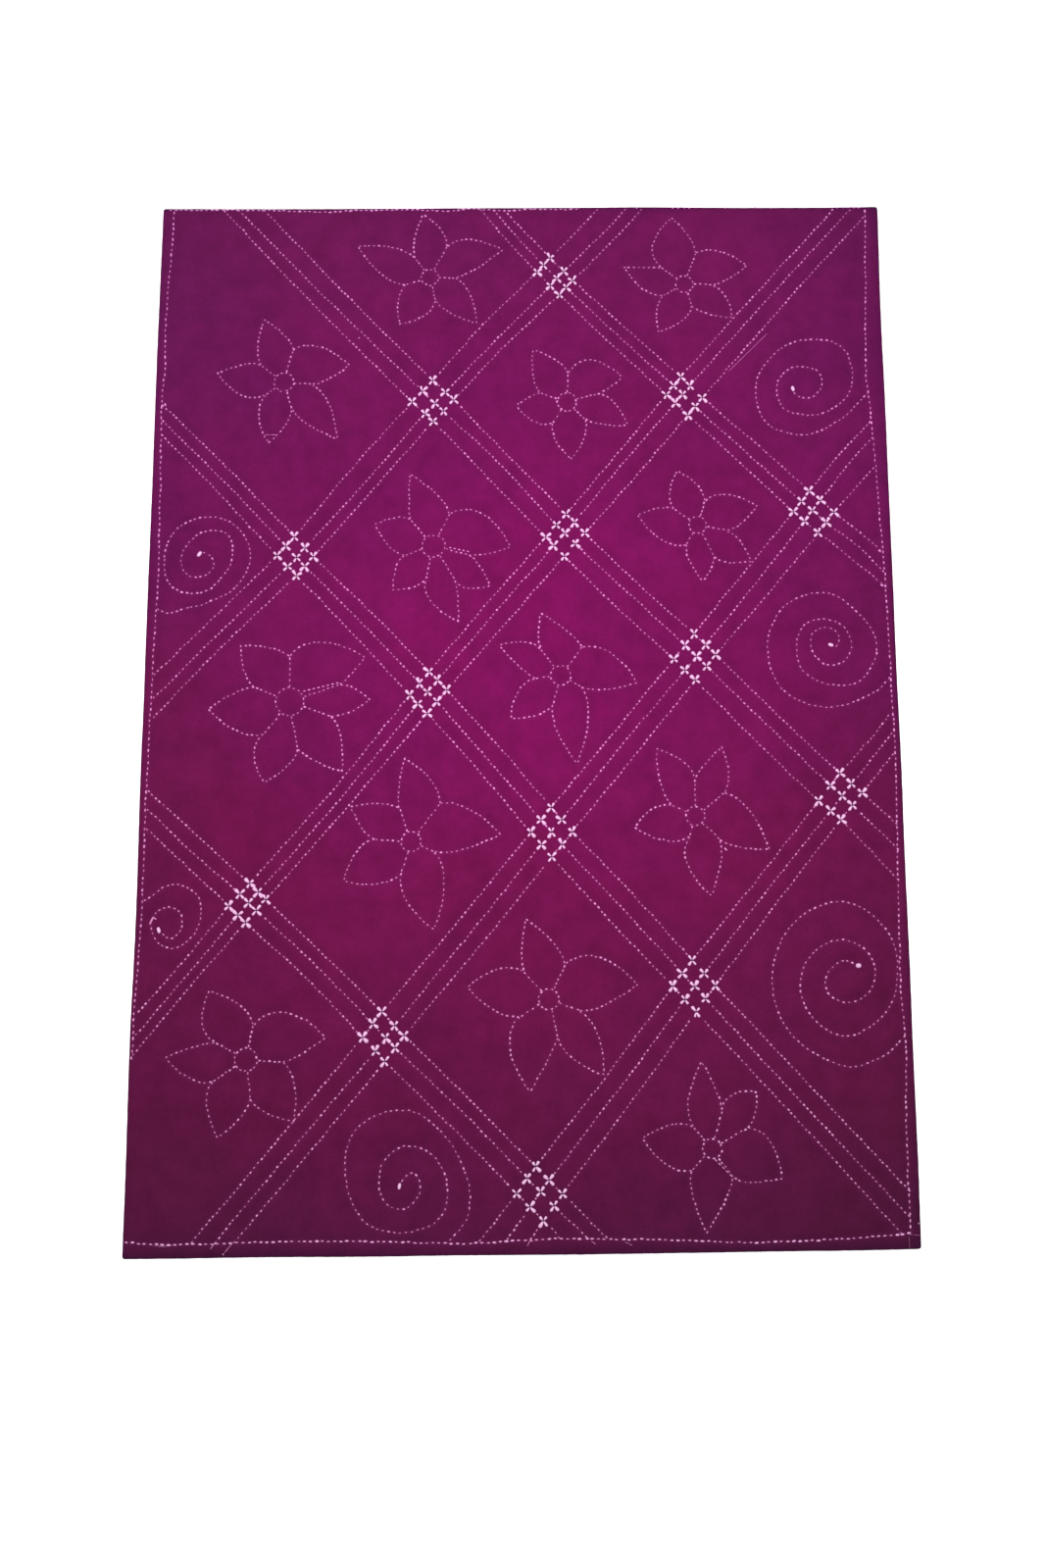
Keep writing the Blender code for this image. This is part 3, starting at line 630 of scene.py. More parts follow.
def outline():
    """The crest of the fold all round, anticlockwise from the lower right."""
    corners = (corner(1, -1, RIGHT, BOTTOM), corner(1, 1, RIGHT, TOP),
               corner(-1, 1, LEFT, TOP), corner(-1, -1, LEFT, BOTTOM))
    halves = (HALF_WIDTH, HALF_LENGTH, HALF_WIDTH, HALF_LENGTH)
    points = []
    for side in (RIGHT, TOP, LEFT, BOTTOM):
        start, end = corners[side], corners[(side + 1) % 4]
        facing, across = 90 * side, side % 2
        count = round((end - start).length / OUTLINE_STEP)
        for i in range(count + 1):
            point = start.lerp(end, i / count)
            along = point[1 - across] / MM
            stray = min(wander(side, along) + beading(along + facing), WANDER_MOST)
            point[across] = ((halves[side] + stray) * MM - FOLD) * (1 if side < 2 else -1)
            points.append(point)
        points += [polar(end, facing + turn, CORNER_RADIUS) for turn in (30, 60)]
    return points


def inside(point, margin):
    """Whether a point keeps a margin to the crest of the fold."""
    return edge_distance(point) > margin + FOLD


border = outline()
print(len(border), "points along the edge")

# %% [markdown]
# Some of these points would fall almost on top of each other where rows meet.  So they are pricked
# in the order of their worth, and a later one that comes too near an earlier one is left out.

# %% Points of the cloth
NEAR_ROW, FAR_ROW = 2.2 * MM, 5.4 * MM
LEAF_SLANT, LEAF_RINGS = 48, (3.4 * MM, 6.6 * MM)      # degrees, and how far from the hole
OPEN_STEP, OPEN_GAP = 9.0 * MM, 4.8 * MM
EDGE_ROW = 2.4 * MM
CELL = 2.5 * MM


def prick(points, cells, candidates, gap, margin):
    """Add the candidates that keep the gap to every point so far."""
    for point in candidates:
        column, row = int(point.x // CELL), int(point.y // CELL)
        around = (near for i in (-1, 0, 1) for j in (-1, 0, 1)
                  for near in cells.get((column + i, row + j), ()))
        if inside(point, margin) and all((near - point).length > gap for near in around):
            cells.setdefault((column, row), []).append(point)
            points.append(point)


def beside(dashes, reach):
    """Points on both sides of each stitch."""
    return [dash.at + dash.way.orthogonal() * side for dash in dashes for side in (-reach, reach)]


def beside_gaps(dashes, reach):
    """Points on both sides of each gap of a row."""
    points = []
    for a, b in neighbours(dashes):
        out = (b - a).orthogonal().normalized() * reach
        points += [(a + b) / 2 + out, (a + b) / 2 - out]
    return points


def around_crossings():
    """Points under and between the arms of each cross."""
    points = []
    for centre in crossings:
        points.append(centre)
        for eighth in range(8):
            points += [polar(centre, LEAF_SLANT + eighth * EIGHTH, ring) for ring in LEAF_RINGS]
    return points


def sized(point, out):
    """A point of the border, moved out to both sides by a distance."""
    return Vector((point.x * (1 + out / (HALF_WIDTH * MM)), point.y * (1 + out / (HALF_LENGTH * MM))))


def open_points():
    """Points in staggered rows all over the cloth."""
    row_gap = OPEN_STEP * math.sqrt(3) / 2
    rows, columns = int(2 * HALF_LENGTH * MM / row_gap), int(2 * HALF_WIDTH * MM / OPEN_STEP)
    return [Vector(((column - columns / 2 + (row % 2) / 2) * OPEN_STEP,
                    row * row_gap - HALF_LENGTH * MM))
            for row in range(1, rows + 1) for column in range(columns + 1)]


inner = []
cells = {}
for point in border:
    cells.setdefault((int(point.x // CELL), int(point.y // CELL)), []).append(point)
for candidates, gap, margin in (
        (crossings, 1.0, 1.5), ([dash.at for dash in running], 1.3, 1.2), (gaps, 1.3, 1.2),
        (around_crossings(), 1.6, 1.5), ([sized(point, -EDGE_ROW) for point in border], 1.6, 1.2),
        (beside(running, NEAR_ROW), 1.6, 1.8), (beside_gaps(running, NEAR_ROW), 1.6, 1.8),
        (beside(running, FAR_ROW), 2.2, 2.5)):
    prick(inner, cells, candidates, gap * MM, margin * MM)
plain_finder = spread(inner + border)
plain = [point for point in open_points()
         if inside(point, 3 * MM) and plain_finder.find(point.to_3d())[2] > OPEN_GAP]
inner += plain
print(len(inner), "points pricked,", len(plain), "of them on plain cloth")

# %% [markdown]
# The triangulated face is drawn down at its border, ring by ring, into the rounded fold of the
# hem, and closed underneath by a flat sheet.  A solid cloth, rather than a single skin, keeps a
# true edge when the quilt is seen from the side.

# %% Cloth
UNDERSIDE_STEP, UNDERSIDE_MARGIN = 70 * MM, 20 * MM
# the rings of the fold from the crest down, in parts of its height and of its bulge
FOLD_RINGS = ((0.82, 0.70), (0.50, 0.30), (0.18, -0.30), (0.0, -0.70))
SHARP = 75                # degrees between two faces, past which their edge stays crisp


def add_fill(mesh, edge, loose):
    """Triangles inside a closed edge, through the loose points; returns the new vertices."""
    links = [(i, (i + 1) % len(edge)) for i in range(len(edge))]
    spots, _, triangles, *_ = delaunay_2d_cdt(edge + loose, links, [], 1, 1e-6)
    verts = [mesh.verts.new(spot.to_3d()) for spot in spots]
    for triangle in triangles:
        mesh.faces.new([verts[i] for i in triangle])
    return verts


def fold_edge(mesh):
    """The rounded fold: the border drawn down ring by ring."""
    ring = [edge for edge in mesh.edges if edge.is_boundary]
    for up, out in FOLD_RINGS:
        drawn = bmesh.ops.extrude_edge_only(mesh, edges=ring)["geom"]
        ring = [item for item in drawn if isinstance(item, bmesh.types.BMEdge)]
        for vert in {v for edge in ring for v in edge.verts}:
            vert.co = sized(vert.co.xy, out * FOLD).to_3d() + Vector((0, 0, up * EDGE))


def cloth_mesh():
    """The quilt as one closed mesh."""
    mesh = bmesh.new()
    for vert in add_fill(mesh, border, inner):
        vert.co.z = EDGE if vert.is_boundary else height_at(vert.co.xy)
    fold_edge(mesh)
    foot = sorted((v for v in mesh.verts if v.co.z == 0.0),
                  key=lambda v: math.atan2(v.co.y, v.co.x))
    columns = int(2 * HALF_WIDTH * MM / UNDERSIDE_STEP)
    lines = int(2 * HALF_LENGTH * MM / UNDERSIDE_STEP)
    under = [Vector(((i - columns / 2 + 0.5) * UNDERSIDE_STEP, (j - lines / 2 + 0.5) * UNDERSIDE_STEP))
             for i in range(columns) for j in range(lines)]
    add_fill(mesh, [v.co.xy for v in foot],
             [point for point in under if inside(point, UNDERSIDE_MARGIN)])
    bmesh.ops.remove_doubles(mesh, verts=mesh.verts, dist=1e-5)
    bmesh.ops.recalc_face_normals(mesh, faces=mesh.faces)
    print("open edges:", sum(1 for edge in mesh.edges if not edge.is_manifold))
    return mesh


def object_of(name, mesh):
    """A new object for a finished bmesh, at the origin."""
    data = bpy.data.meshes.new(name)
    mesh.to_mesh(data)
    mesh.free()
    piece = bpy.data.objects.new(name, data)
    bpy.context.collection.objects.link(piece)
    return piece


cloth = object_of("quilted_cloth", cloth_mesh())
cloth.data.shade_smooth()
cloth.data.set_sharp_from_angle(angle=math.radians(SHARP))
print("cloth:", len(cloth.data.polygons), "triangles")

# %% [markdown]
# Two things colour the cloth beside the thread.  Painted shade darkens it where it is drawn in, at
# the holes and along the rows, and on the rounded fold of each hem.  Right on a row the pale thread
# runs just beneath the thin face and shows through as a pinker line.  Each point of the cloth keeps
# a value for both, and the colour reads them later.  They could be painted by hand, but the stitches
# already say where they belong.

# %% Painted shade of drawn-in cloth and hem folds, and thread that shows through
# each hem: how much painted shade lies on the rounded fold at its edge, and how far in, in millimetres
LEFT_SHADE, RIGHT_SHADE, TOP_SHADE, BOTTOM_SHADE = (0.15, 3.0), (0.35, 4.0), (0.55, 3.0), (0.58, 7.0)
# painted shade along the rows, and in the hole in the middle of each cross
ROW_SHADE, ROW_SHADE_REACH = 0.09, 6 * MM
HOLE_SHADE_REACH, GLOW_REACH = 2.0 * MM, 1.7 * MM
FACE_UP = 0.3             # a point whose normal rises more than this is on the face


def hem_fold_shade(spot):
    """Painted shade on the rounded folds near the hems, the lower one most of all."""
    x, y = spot / MM
    hems = ((HALF_WIDTH + x, LEFT_SHADE), (HALF_WIDTH - x, RIGHT_SHADE),
            (HALF_LENGTH - y, TOP_SHADE), (HALF_LENGTH + y, BOTTOM_SHADE))
    return sum(depth * math.exp(-max(away, 0.0) / reach) for away, (depth, reach) in hems)


# painted shade: one value a point, for the hems' folds, the rows and the holes, that the cloth's colour
# reads
drawn = cloth.data.attributes.new("drawn_in", "FLOAT", "POINT")
through = cloth.data.attributes.new("thread_through", "FLOAT", "POINT")
for vert, depth, glow in zip(cloth.data.vertices, drawn.data, through.data):
    spot = vert.co.xy
    depth.value = hem_fold_shade(spot)
    if vert.normal.z > FACE_UP:
        away = seam_finder.find(spot.to_3d())[2]
        depth.value = min(1.0, depth.value + ROW_SHADE * math.exp(-(away / ROW_SHADE_REACH) ** 2)
                          + bell(crossing_finder, spot, HOLE_SHADE_REACH))
        glow.value = min(1.0, bell(dent_finder, spot, GLOW_REACH)
                         + bell(swell_finder, spot, GLOW_REACH))
print("most drawn in:", round(max(value.value for value in drawn.data), 2))

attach(cloth, "root")
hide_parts("quilt")

# %% [markdown]
# ## One stitch
#
# A stitch is a short length of soft thread that rises out of the cloth, lies on it and dives back.
# It is modelled by hand once: a six-sided cylinder laid along X, its middle lifted, and both ends
# drawn out, down and thin.  A curve with a round bevel could do the same, but it would have many
# more faces, and this shape is repeated thousands of times.

# %% Helpers for modelling by hand
@contextmanager
def edited(piece, select="DESELECT"):
    """Edit mode on one piece, with nothing of it selected unless asked, and back again."""
    bpy.ops.object.select_all(action="DESELECT")
    bpy.context.view_layer.objects.active = piece
    piece.select_set(True)
    bpy.ops.object.mode_set(mode="EDIT")
    bpy.ops.mesh.select_all(action=select)
    yield
    bpy.ops.object.mode_set(mode="OBJECT")


def pick(piece, kind, wanted):
    """Select the points or the faces that a test on their place picks."""
    bpy.ops.mesh.select_mode(type=kind)
    mesh = bmesh.from_edit_mesh(piece.data)
    for vert in mesh.verts if kind == "VERT" else ():
        vert.select_set(bool(wanted(vert.co)))
    for face in mesh.faces if kind == "FACE" else ():
        face.select_set(bool(wanted(face.calc_center_median())))
    mesh.select_flush_mode()
    bmesh.update_edit_mesh(piece.data)


def laid(name, add, **sizes):
    """A new primitive laid along X about the origin, its turn kept in its mesh."""
    bpy.ops.object.select_all(action="DESELECT")
    add(rotation=(0, math.pi / 2, 0), **sizes)
    piece = bpy.context.object
    piece.name = name
    bpy.ops.object.transform_apply(location=True, rotation=True, scale=True)
    return piece


def draw_out(piece, side, out, down, thin):
    """Extrude the end face on one side outwards and down, and thin it."""
    end = max(polygon.center.x * side for polygon in piece.data.polygons)
    with edited(piece):
        pick(piece, "FACE", lambda middle: abs(middle.x * side - end) < 1e-6)
        bpy.ops.mesh.extrude_region_move(TRANSFORM_OT_translate={"value": (side * out, 0, -down)})
        bpy.ops.transform.resize(value=(1, thin, thin))


print("helpers ready")

# %% [markdown]
# The stitch itself takes a dozen steps of modelling.  Its sizes are handed in, because a leaf of a
# cross is the same shape again, only wider and flatter.

# %% One stitch by hand
THREAD = 1.75 * MM        # width of the thread where it lies on the cloth
BODY_PART, END_REACH = 0.62, 0.30          # of the stitch's length
MIDDLE_RISE, MIDDLE_FULL = 0.22, 1.10      # of its lift, and of its width
END_THIN = 0.55
DIVE_OF_LIFT, DIVE_OF_WIDTH = 2.2, 0.25    # how deep an end dives
NEAR_MIDDLE = 0.1                          # of the length: only the new cut lies so near


def hand_stitch(name, sides, width, length, lift, flat):
    """One stitch along X: a lifted middle, and two ends that dive under the cloth."""
    stitch = laid(name, bpy.ops.mesh.primitive_cylinder_add, vertices=sides, radius=width / 2,
                  depth=BODY_PART * length)
    with edited(stitch, select="SELECT"):
        bpy.ops.mesh.bisect(plane_co=(0, 0, 0), plane_no=(1, 0, 0))
    with edited(stitch):
        pick(stitch, "VERT", lambda co: abs(co.x) < NEAR_MIDDLE * length)
        bpy.ops.transform.translate(value=(0, 0, MIDDLE_RISE * lift))
        bpy.ops.transform.resize(value=(1, MIDDLE_FULL, MIDDLE_FULL))
        bpy.ops.mesh.select_all(action="SELECT")
        bpy.ops.transform.resize(value=(1, 1, flat))
        bpy.ops.transform.translate(value=(0, 0, lift))
    dive = DIVE_OF_LIFT * lift + DIVE_OF_WIDTH * width
    for side in (-1, 1):
        draw_out(stitch, side, END_REACH * length, dive, END_THIN)
    with edited(stitch, select="SELECT"):
        bpy.ops.mesh.normals_make_consistent(inside=False)
    bpy.ops.object.shade_smooth()
    print(name, len(stitch.data.polygons), "faces")
    return stitch


stitch = hand_stitch("one_stitch", sides=6, width=THREAD, length=STITCH, lift=0.26 * MM, flat=0.85)

# %% [markdown]
# The copies of a row are gathered into one mesh, which is far lighter than thousands of objects.
# Each copy keeps the stitch's own map, U along the thread and V around it, so that the twist of
# the strands follows it in every direction, and one value for how light or dull its thread is.

# %% Sewing many stitches at once
LOWEST = 0.1 * MM         # no end of a thread pokes out under the cloth
LAID = 0.05 * MM          # how far a leaf or a loose thread lies above the cloth's own height


def thread_map(mesh):
    """U and V of every corner: along the thread from 0 to 1, and around it."""
    low = min(v.co.x for v in mesh.vertices)
    high = max(v.co.x for v in mesh.vertices)
    map_points = []
    for polygon in mesh.polygons:
        middle = math.atan2(polygon.center.y, polygon.center.z)
        for index in polygon.vertices:
            co = mesh.vertices[index].co
            around = math.atan2(co.y, co.z - polygon.center.z * 0.2)
            around += 2 * math.pi * round((middle - around) / (2 * math.pi))
            map_points += [(co.x - low) / (high - low), around / (2 * math.pi)]
    return map_points


def sewn(name, shape, placings):
    """One piece of many copies of a stitch; a placing is a matrix and a shade."""
    shape_points = [v.co.copy() for v in shape.data.vertices]
    shape_faces = [tuple(polygon.vertices) for polygon in shape.data.polygons]
    points, faces, shades = [], [], []
    for matrix, shade in placings:
        first = len(points)
        points += [matrix @ point for point in shape_points]
        faces += [tuple(first + i for i in face) for face in shape_faces]
        shades += [shade] * len(shape_points)
    for point in points:
        point.z = max(point.z, LOWEST)
    data = bpy.data.meshes.new(name)
    data.from_pydata(points, [], faces)
    uv = data.uv_layers.new(name="thread_map")
    uv.data.foreach_set("uv", thread_map(shape.data) * len(placings))
    data.attributes.new("thread_shade", "FLOAT", "POINT").data.foreach_set("value", shades)
    data.shade_smooth()
    piece = bpy.data.objects.new(name, data)
    bpy.context.collection.objects.link(piece)
    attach(piece, "root")
    triangles = sum(len(face) - 2 for face in shape_faces) * len(placings)
    print(name, len(placings), "copies,", triangles, "triangles")
    return piece


def placing(at, way, height, length=1.0, width=1.0, shade=1.0):
    """The matrix of a stitch that lies at a point of the cloth, along a way."""
    turn = Matrix.Rotation(math.atan2(way.y, way.x), 4, "Z")
    size = Matrix.Diagonal((length, width, width, 1))
    return Matrix.Translation(at.to_3d() + Vector((0, 0, height))) @ turn @ size, shade


def placings_of(dashes):
    """A placing for each stitch, on the face of the cloth where it was sewn."""
    return [placing(dash.at, dash.way, height_at(dash.at), dash.length / STITCH, dash.width,
                    dash.shade) for dash in dashes]


sewing = [
    sewn("falling_rows", stitch, placings_of(falling_dashes)),
    sewn("rising_rows", stitch, placings_of(rising_dashes)),
    sewn("flower_stitches", stitch, placings_of(petal_dashes)),
    sewn("spiral_stitches", stitch, placings_of(spiral_dashes)),
    sewn("hem_stitches", stitch, placings_of(hem_dashes)),
]

# %% [markdown]
# ## Crosses
#
# Each crossing carries a cross of four plump leaves, sewn over and over from one hole in its
# middle out along the two rows.  One leaf is a wider, flatter stitch with eight sides, thinner at
# the hole and full at its far end; the four leaves of a cross are copies turned about the hole.
# They could be loops of real strands, but at seven millimetres the eye sees the plump leaf and
# the dark hole, not the strands.

# %% One leaf and all the crosses
LEAF, LEAF_WIDTH = 5.8 * MM, 3.2 * MM
LEAF_START = 1.45 * MM    # from the middle of the hole
LEAF_TURN = 0.14
LEAF_LENGTHS, LEAF_WIDTHS = (0.80, 0.40, 0.04), (0.78, 0.45, 0.06)
LEAF_SHADES = (0.7, 1.0)
FAR_WIDE, NEAR_WIDE = 1.16, 0.80
PAST_MIDDLE = 0.2         # of a leaf: where its far part and its near part begin
leaf = hand_stitch("one_leaf", sides=8, width=LEAF_WIDTH, length=LEAF, lift=0.34 * MM, flat=0.50)
for side, wide in ((1, FAR_WIDE), (-1, NEAR_WIDE)):
    with edited(leaf):
        pick(leaf, "VERT", lambda co: co.x * side > PAST_MIDDLE * LEAF)
        bpy.ops.transform.resize(value=(1, wide, 1))
print("a leaf widens away from its hole")


def cross_placings():
    """Four leaves about each crossing, along its rising and its falling row."""
    placings = []
    for number, centre in enumerate(crossings):
        cluster = CLUSTERS[number // 9]
        rise = Vector((cluster.rise_dx, cluster.rise_dy)).normalized()
        fall = Vector((cluster.fall_dx, cluster.fall_dy)).normalized()
        for way in (rise, fall, -rise, -fall):
            turned = Matrix.Rotation(hand.gauss(0, LEAF_TURN), 2) @ way
            full = hand.random()
            length = varied(*LEAF_LENGTHS, full)
            width = varied(*LEAF_WIDTHS, full ** 2)
            middle = centre + turned * (LEAF_START + 0.5 * LEAF * length)
            placings.append(placing(middle, turned, height_at(middle) + LAID, length, width,
                                    hand.uniform(*LEAF_SHADES)))
    return placings


sewing.append(sewn("cross_leaves", leaf, cross_placings()))

# %% [markdown]
# ## Knots and loose ends
#
# A spiral starts from a knot, a little lump of wound thread.  Here and there a stitch was doubled,
# a thread runs loose or a row has been carried past the hem.  Those small faults show a hand at
# work, so they are sewn in as well, one by one; a random scatter would put them where no hand
# would.

# %% One knot and its places
KNOT_RADIUS, KNOT_SHAPE = 1.5 * MM, (1.55, 1.0, 0.62)
TURN_FROM, TURN_TO = 0.6 * MM, 1.7 * MM    # the part of each end that is wound aside
TURN_ASIDE, TURN_UP = 0.28 * MM, 0.12 * MM
KNOT_ABOVE = 0.4 * MM


def hand_knot():
    """A small lump of wound thread, longer than it is wide."""
    knot = laid("one_knot", bpy.ops.mesh.primitive_uv_sphere_add, segments=10, ring_count=7,
                radius=KNOT_RADIUS)
    with edited(knot, select="SELECT"):
        bpy.ops.transform.resize(value=KNOT_SHAPE)
    for side in (-1, 1):
        with edited(knot):
            pick(knot, "VERT", lambda co: TURN_FROM < co.x * side < TURN_TO)
            bpy.ops.transform.translate(value=(0, side * TURN_ASIDE, TURN_UP))
    bpy.ops.object.shade_smooth()
    print("one_knot", len(knot.data.polygons), "faces")
    return knot


Knot = namedtuple("Knot", "x y turn length width shade")
KNOTS = (
    Knot(340, 396, 96, 1.55, 1.50, 0.9), Knot(-394, 186.2, 46, 1.65, 1.50, 1.0),
    Knot(376, 67.8, 153, 1.45, 1.45, 0.95), Knot(-427, -270, 100, 1.65, 1.45, 0.9),
    Knot(395, -318, 160, 1.40, 1.95, 0.6), Knot(-141.5, -563.2, 74, 1.60, 1.30, 0.8),
)
knot = hand_knot()
knot_placings = []
for one in KNOTS:
    at = Vector((one.x, one.y)) * MM
    knot_placings.append(placing(at, polar(Vector((0, 0)), one.turn, 1.0),
                                 height_at(at) + KNOT_ABOVE, one.length, one.width, one.shade))
sewing.append(sewn("spiral_knots", knot, knot_placings))

# %% [markdown]
# The loose ends have a chart of their own.  Each thread has both ends, how many stitches it takes,
# how bold they are, and how much of its room each stitch fills; a carried thread fills all of it.

# %% Loose ends
LOOSE = (
    ((309, 468), (262, 421), 5, 0.30, 1.1), ((-444, 382), (-441, 375), 1, 1.1, 0.5),
    ((-448, 380), (-446, 372), 1, 1.1, 0.5), ((239, -177), (245, -183), 1, 1.0, 0.5),
    ((220, -536), (241, -557), 5, 0.7, 0.6), ((-318, 338.5), (-304, 338.5), 2, 0.4, 1.0),
    ((-265, 14), (-220, 25), 8, 0.9, 0.5), ((-90, 193), (-63, 187), 5, 0.9, 0.5),
    ((-351, -624), (-356, -631), 1, 0.5, 1.0), ((-330, -623), (-339, -634), 2, 0.45, 1.0),
    ((-341, -636), (-340, -635.5), 1, 1.0, 0.5), ((8, -624), (4.5, -631), 1, 0.4, 1.0),
    ((78, -626), (83, -629), 1, 0.4, 0.9), ((116, -627), (125, -631), 2, 0.35, 0.8),
    ((-425, -624.5), (-410, -627), 3, 0.3, 1.0), ((-410, -627), (-396, -625), 3, 0.3, 1.0),
    ((441, -622), (453, -623), 2, 0.24, 1.0), ((441, -625), (441, -637), 2, 0.18, 1.0),
    ((452, -610), (453, -610), 1, 0.9, 0.5), ((-438, -263.3), (-433.8, -254.6), 1, 1.25, 1.0),
    ((-433.6, -255), (-429.8, -257.8), 1, 0.75, 0.8), ((-204, 465), (-202, 465), 1, 0.8, 1.0),
    ((438, 187), (443, 184), 1, 1.3, 0.7), ((439, 143), (444, 141), 1, 1.3, 0.7),
    ((439.4, 637), (439.4, 633), 1, 1.2, 0.9),
)
SHORTEST = 0.5            # of a stitch
LOOSE_SHADES = (0.4, 0.95)
# where a stitch of the top hem goes round the fold, in millimetres along it and in from the edge
FOLD_INSET, FOLD_STRAY, FOLD_TURN = 0.9, 0.3, 0.2
FOLD_LENGTHS, FOLD_WIDTHS, FOLD_SHADES = (0.7, 1.0), (0.7, 0.95), (0.5, 0.95)
ROUND_FOLD = (65, 74, 148, 194, 201, 209, 215, 261, 299, 305, 319, 327, 404, 412, 419, 426, 432)
loose_placings = []
for start, end, count, bold, filled in LOOSE:
    a, b = Vector(start) * MM, Vector(end) * MM
    for i in range(count):
        at = a.lerp(b, (i + 0.5) / count)
        length = max((b - a).length / count / STITCH * filled, SHORTEST)
        loose_placings.append(placing(at, b - a, height_at(at) + LAID, length, bold,
                                      min(bold, 1.0) * hand.uniform(*LOOSE_SHADES)))
for along in ROUND_FOLD:
    at = Vector((along, HALF_LENGTH - FOLD_INSET + hand.gauss(0, FOLD_STRAY))) * MM
    way = Vector((1, hand.gauss(0, FOLD_TURN)))
    loose_placings.append(placing(at, way, EDGE, hand.uniform(*FOLD_LENGTHS),
                                  hand.uniform(*FOLD_WIDTHS), hand.uniform(*FOLD_SHADES)))
sewing.append(sewn("loose_threads", stitch, loose_placings))

for shape in (stitch, leaf, knot):
    bpy.data.objects.remove(shape, do_unlink=True)

print("sewn pieces:", [piece.name for piece in sewing])

# %% [markdown]
# ## Finishes
#
# Three effects belong to cloth and thread alike, so each is a node group with named inputs: uneven
# dye, which clouds a colour in soft patches; a painted pool of light, which tells how brightly a
# place is painted as lit, most in the upper middle; and fibre fuzz, which gives a fine rough height.
# Painted textures would need maps for thousands of stitches; these patterns are worked out from the
# place of each point.

# %% Helpers for nodes
def feed(tree, socket, value):
    """Link a socket to another node's output, or give it a steady value."""
    if isinstance(value, bpy.types.NodeSocket):
        tree.links.new(value, socket)
    else:
        socket.default_value = value


def add_node(tree, kind, *inputs, **values):
    """A node with its properties and inputs given by name, or its inputs fed in their order."""
    node = tree.nodes.new(kind)
    for name, value in values.items():
        if hasattr(node, name):
            setattr(node, name, value)
        else:
            feed(tree, node.inputs[name.replace("_", " ")], value)
    for socket, value in zip(node.inputs, inputs):
        feed(tree, socket, value)
    return node


def number(tree, operation, *inputs):
    """The result of a math node on numbers."""
    return add_node(tree, "ShaderNodeMath", *inputs, operation=operation).outputs[0]


def vector(tree, operation, *inputs, **values):
    """The result of a math node on vectors or colours."""
    return add_node(tree, "ShaderNodeVectorMath", *inputs, operation=operation, **values).outputs[0]


def mixed(tree, amount, first, second):
    """The output of a colour mix."""
    mix = add_node(tree, "ShaderNodeMix", data_type="RGBA", Factor=amount)
    feed(tree, mix.inputs[6], first)
    feed(tree, mix.inputs[7], second)
    return mix.outputs[2]


def new_group(name, inputs, output, kind):
    """A shader node group, the sockets inside that carry its inputs, and its output's socket."""
    group = bpy.data.node_groups.new(name, "ShaderNodeTree")
    for socket_name, socket_kind, value in inputs:
        socket = group.interface.new_socket(name=socket_name, in_out="INPUT", socket_type=socket_kind)
        if value is not None:
            socket.default_value = value
    group.interface.new_socket(name=output, in_out="OUTPUT", socket_type=kind)
    start, end = group.nodes.new("NodeGroupInput"), group.nodes.new("NodeGroupOutput")
    return group, start.outputs, end.inputs[output]


def placed(tree, group, **values):
    """The output of a node group placed in a material, with its own values."""
    return add_node(tree, "ShaderNodeGroup", node_tree=group, **values).outputs[0]


print("node helpers ready")

# %% [markdown]
# The dye's wide clouds drift in hue as well as in depth, its small patches in depth only.  The
# painted pool of light falls off from its brightest place as a soft bell, in a turned oval.

# %% Groups for dye, painted light and fibre
# the painted pool of light is an oval; its middle and its reach each way in metres, and how it is
# turned
BRIGHTEST_AT, LIGHT_REACH, LIGHT_TURN = (0.015, 0.080, 0), (0.73, 0.660, 1), 55
LIGHT_EASE = 1.6          # above one, the middle stays brightly painted for longer
PATCH_SWING = 1.6         # the small patches against the wide clouds


def uneven_dye():
    """A colour that drifts in depth over wide and small patches, and a little in hue."""
    group, given, result = new_group("uneven_dye", (
        ("Place", "NodeSocketVector", None), ("Colour", "NodeSocketColor", (0.5, 0.5, 0.5, 1)),
        ("Depth", "NodeSocketFloat", 0.1)), "Colour", "NodeSocketColor")
    wide = add_node(group, "ShaderNodeTexNoise", Vector=given["Place"], Scale=5.5, Detail=4.0,
                    Roughness=0.55)
    patches = add_node(group, "ShaderNodeTexNoise", Vector=given["Place"], Scale=30.0, Detail=4.0,
                       Roughness=0.68)
    clouds = mixed(group, 0.5, wide.outputs["Fac"], wide.outputs["Color"])
    # both textures swing about their middles
    depth = number(group, "MULTIPLY_ADD", patches.outputs["Fac"], PATCH_SWING, -PATCH_SWING / 2 - 0.5)
    drift = vector(group, "MULTIPLY_ADD", vector(group, "ADD", clouds, depth), given["Depth"],
                   (1.0, 1.0, 1.0))
    feed(group, result, vector(group, "MULTIPLY", given["Colour"], drift))
    return group


def fading():
    """Painted pool of light: one in the upper middle, less and less towards the hems."""
    group, given, result = new_group("fading", (("Place", "NodeSocketVector", None),),
                                     "Fresh", "NodeSocketFloat")
    centred = add_node(group, "ShaderNodeMapping", vector_type="TEXTURE", Vector=given["Place"],
                       Location=BRIGHTEST_AT, Rotation=(0, 0, math.radians(LIGHT_TURN)),
                       Scale=LIGHT_REACH)
    away = add_node(group, "ShaderNodeVectorMath", centred.outputs["Vector"], operation="LENGTH")
    eased = number(group, "POWER", away.outputs["Value"], LIGHT_EASE)
    feed(group, result, number(group, "EXPONENT", number(group, "MULTIPLY", eased, -1.0)))
    return group


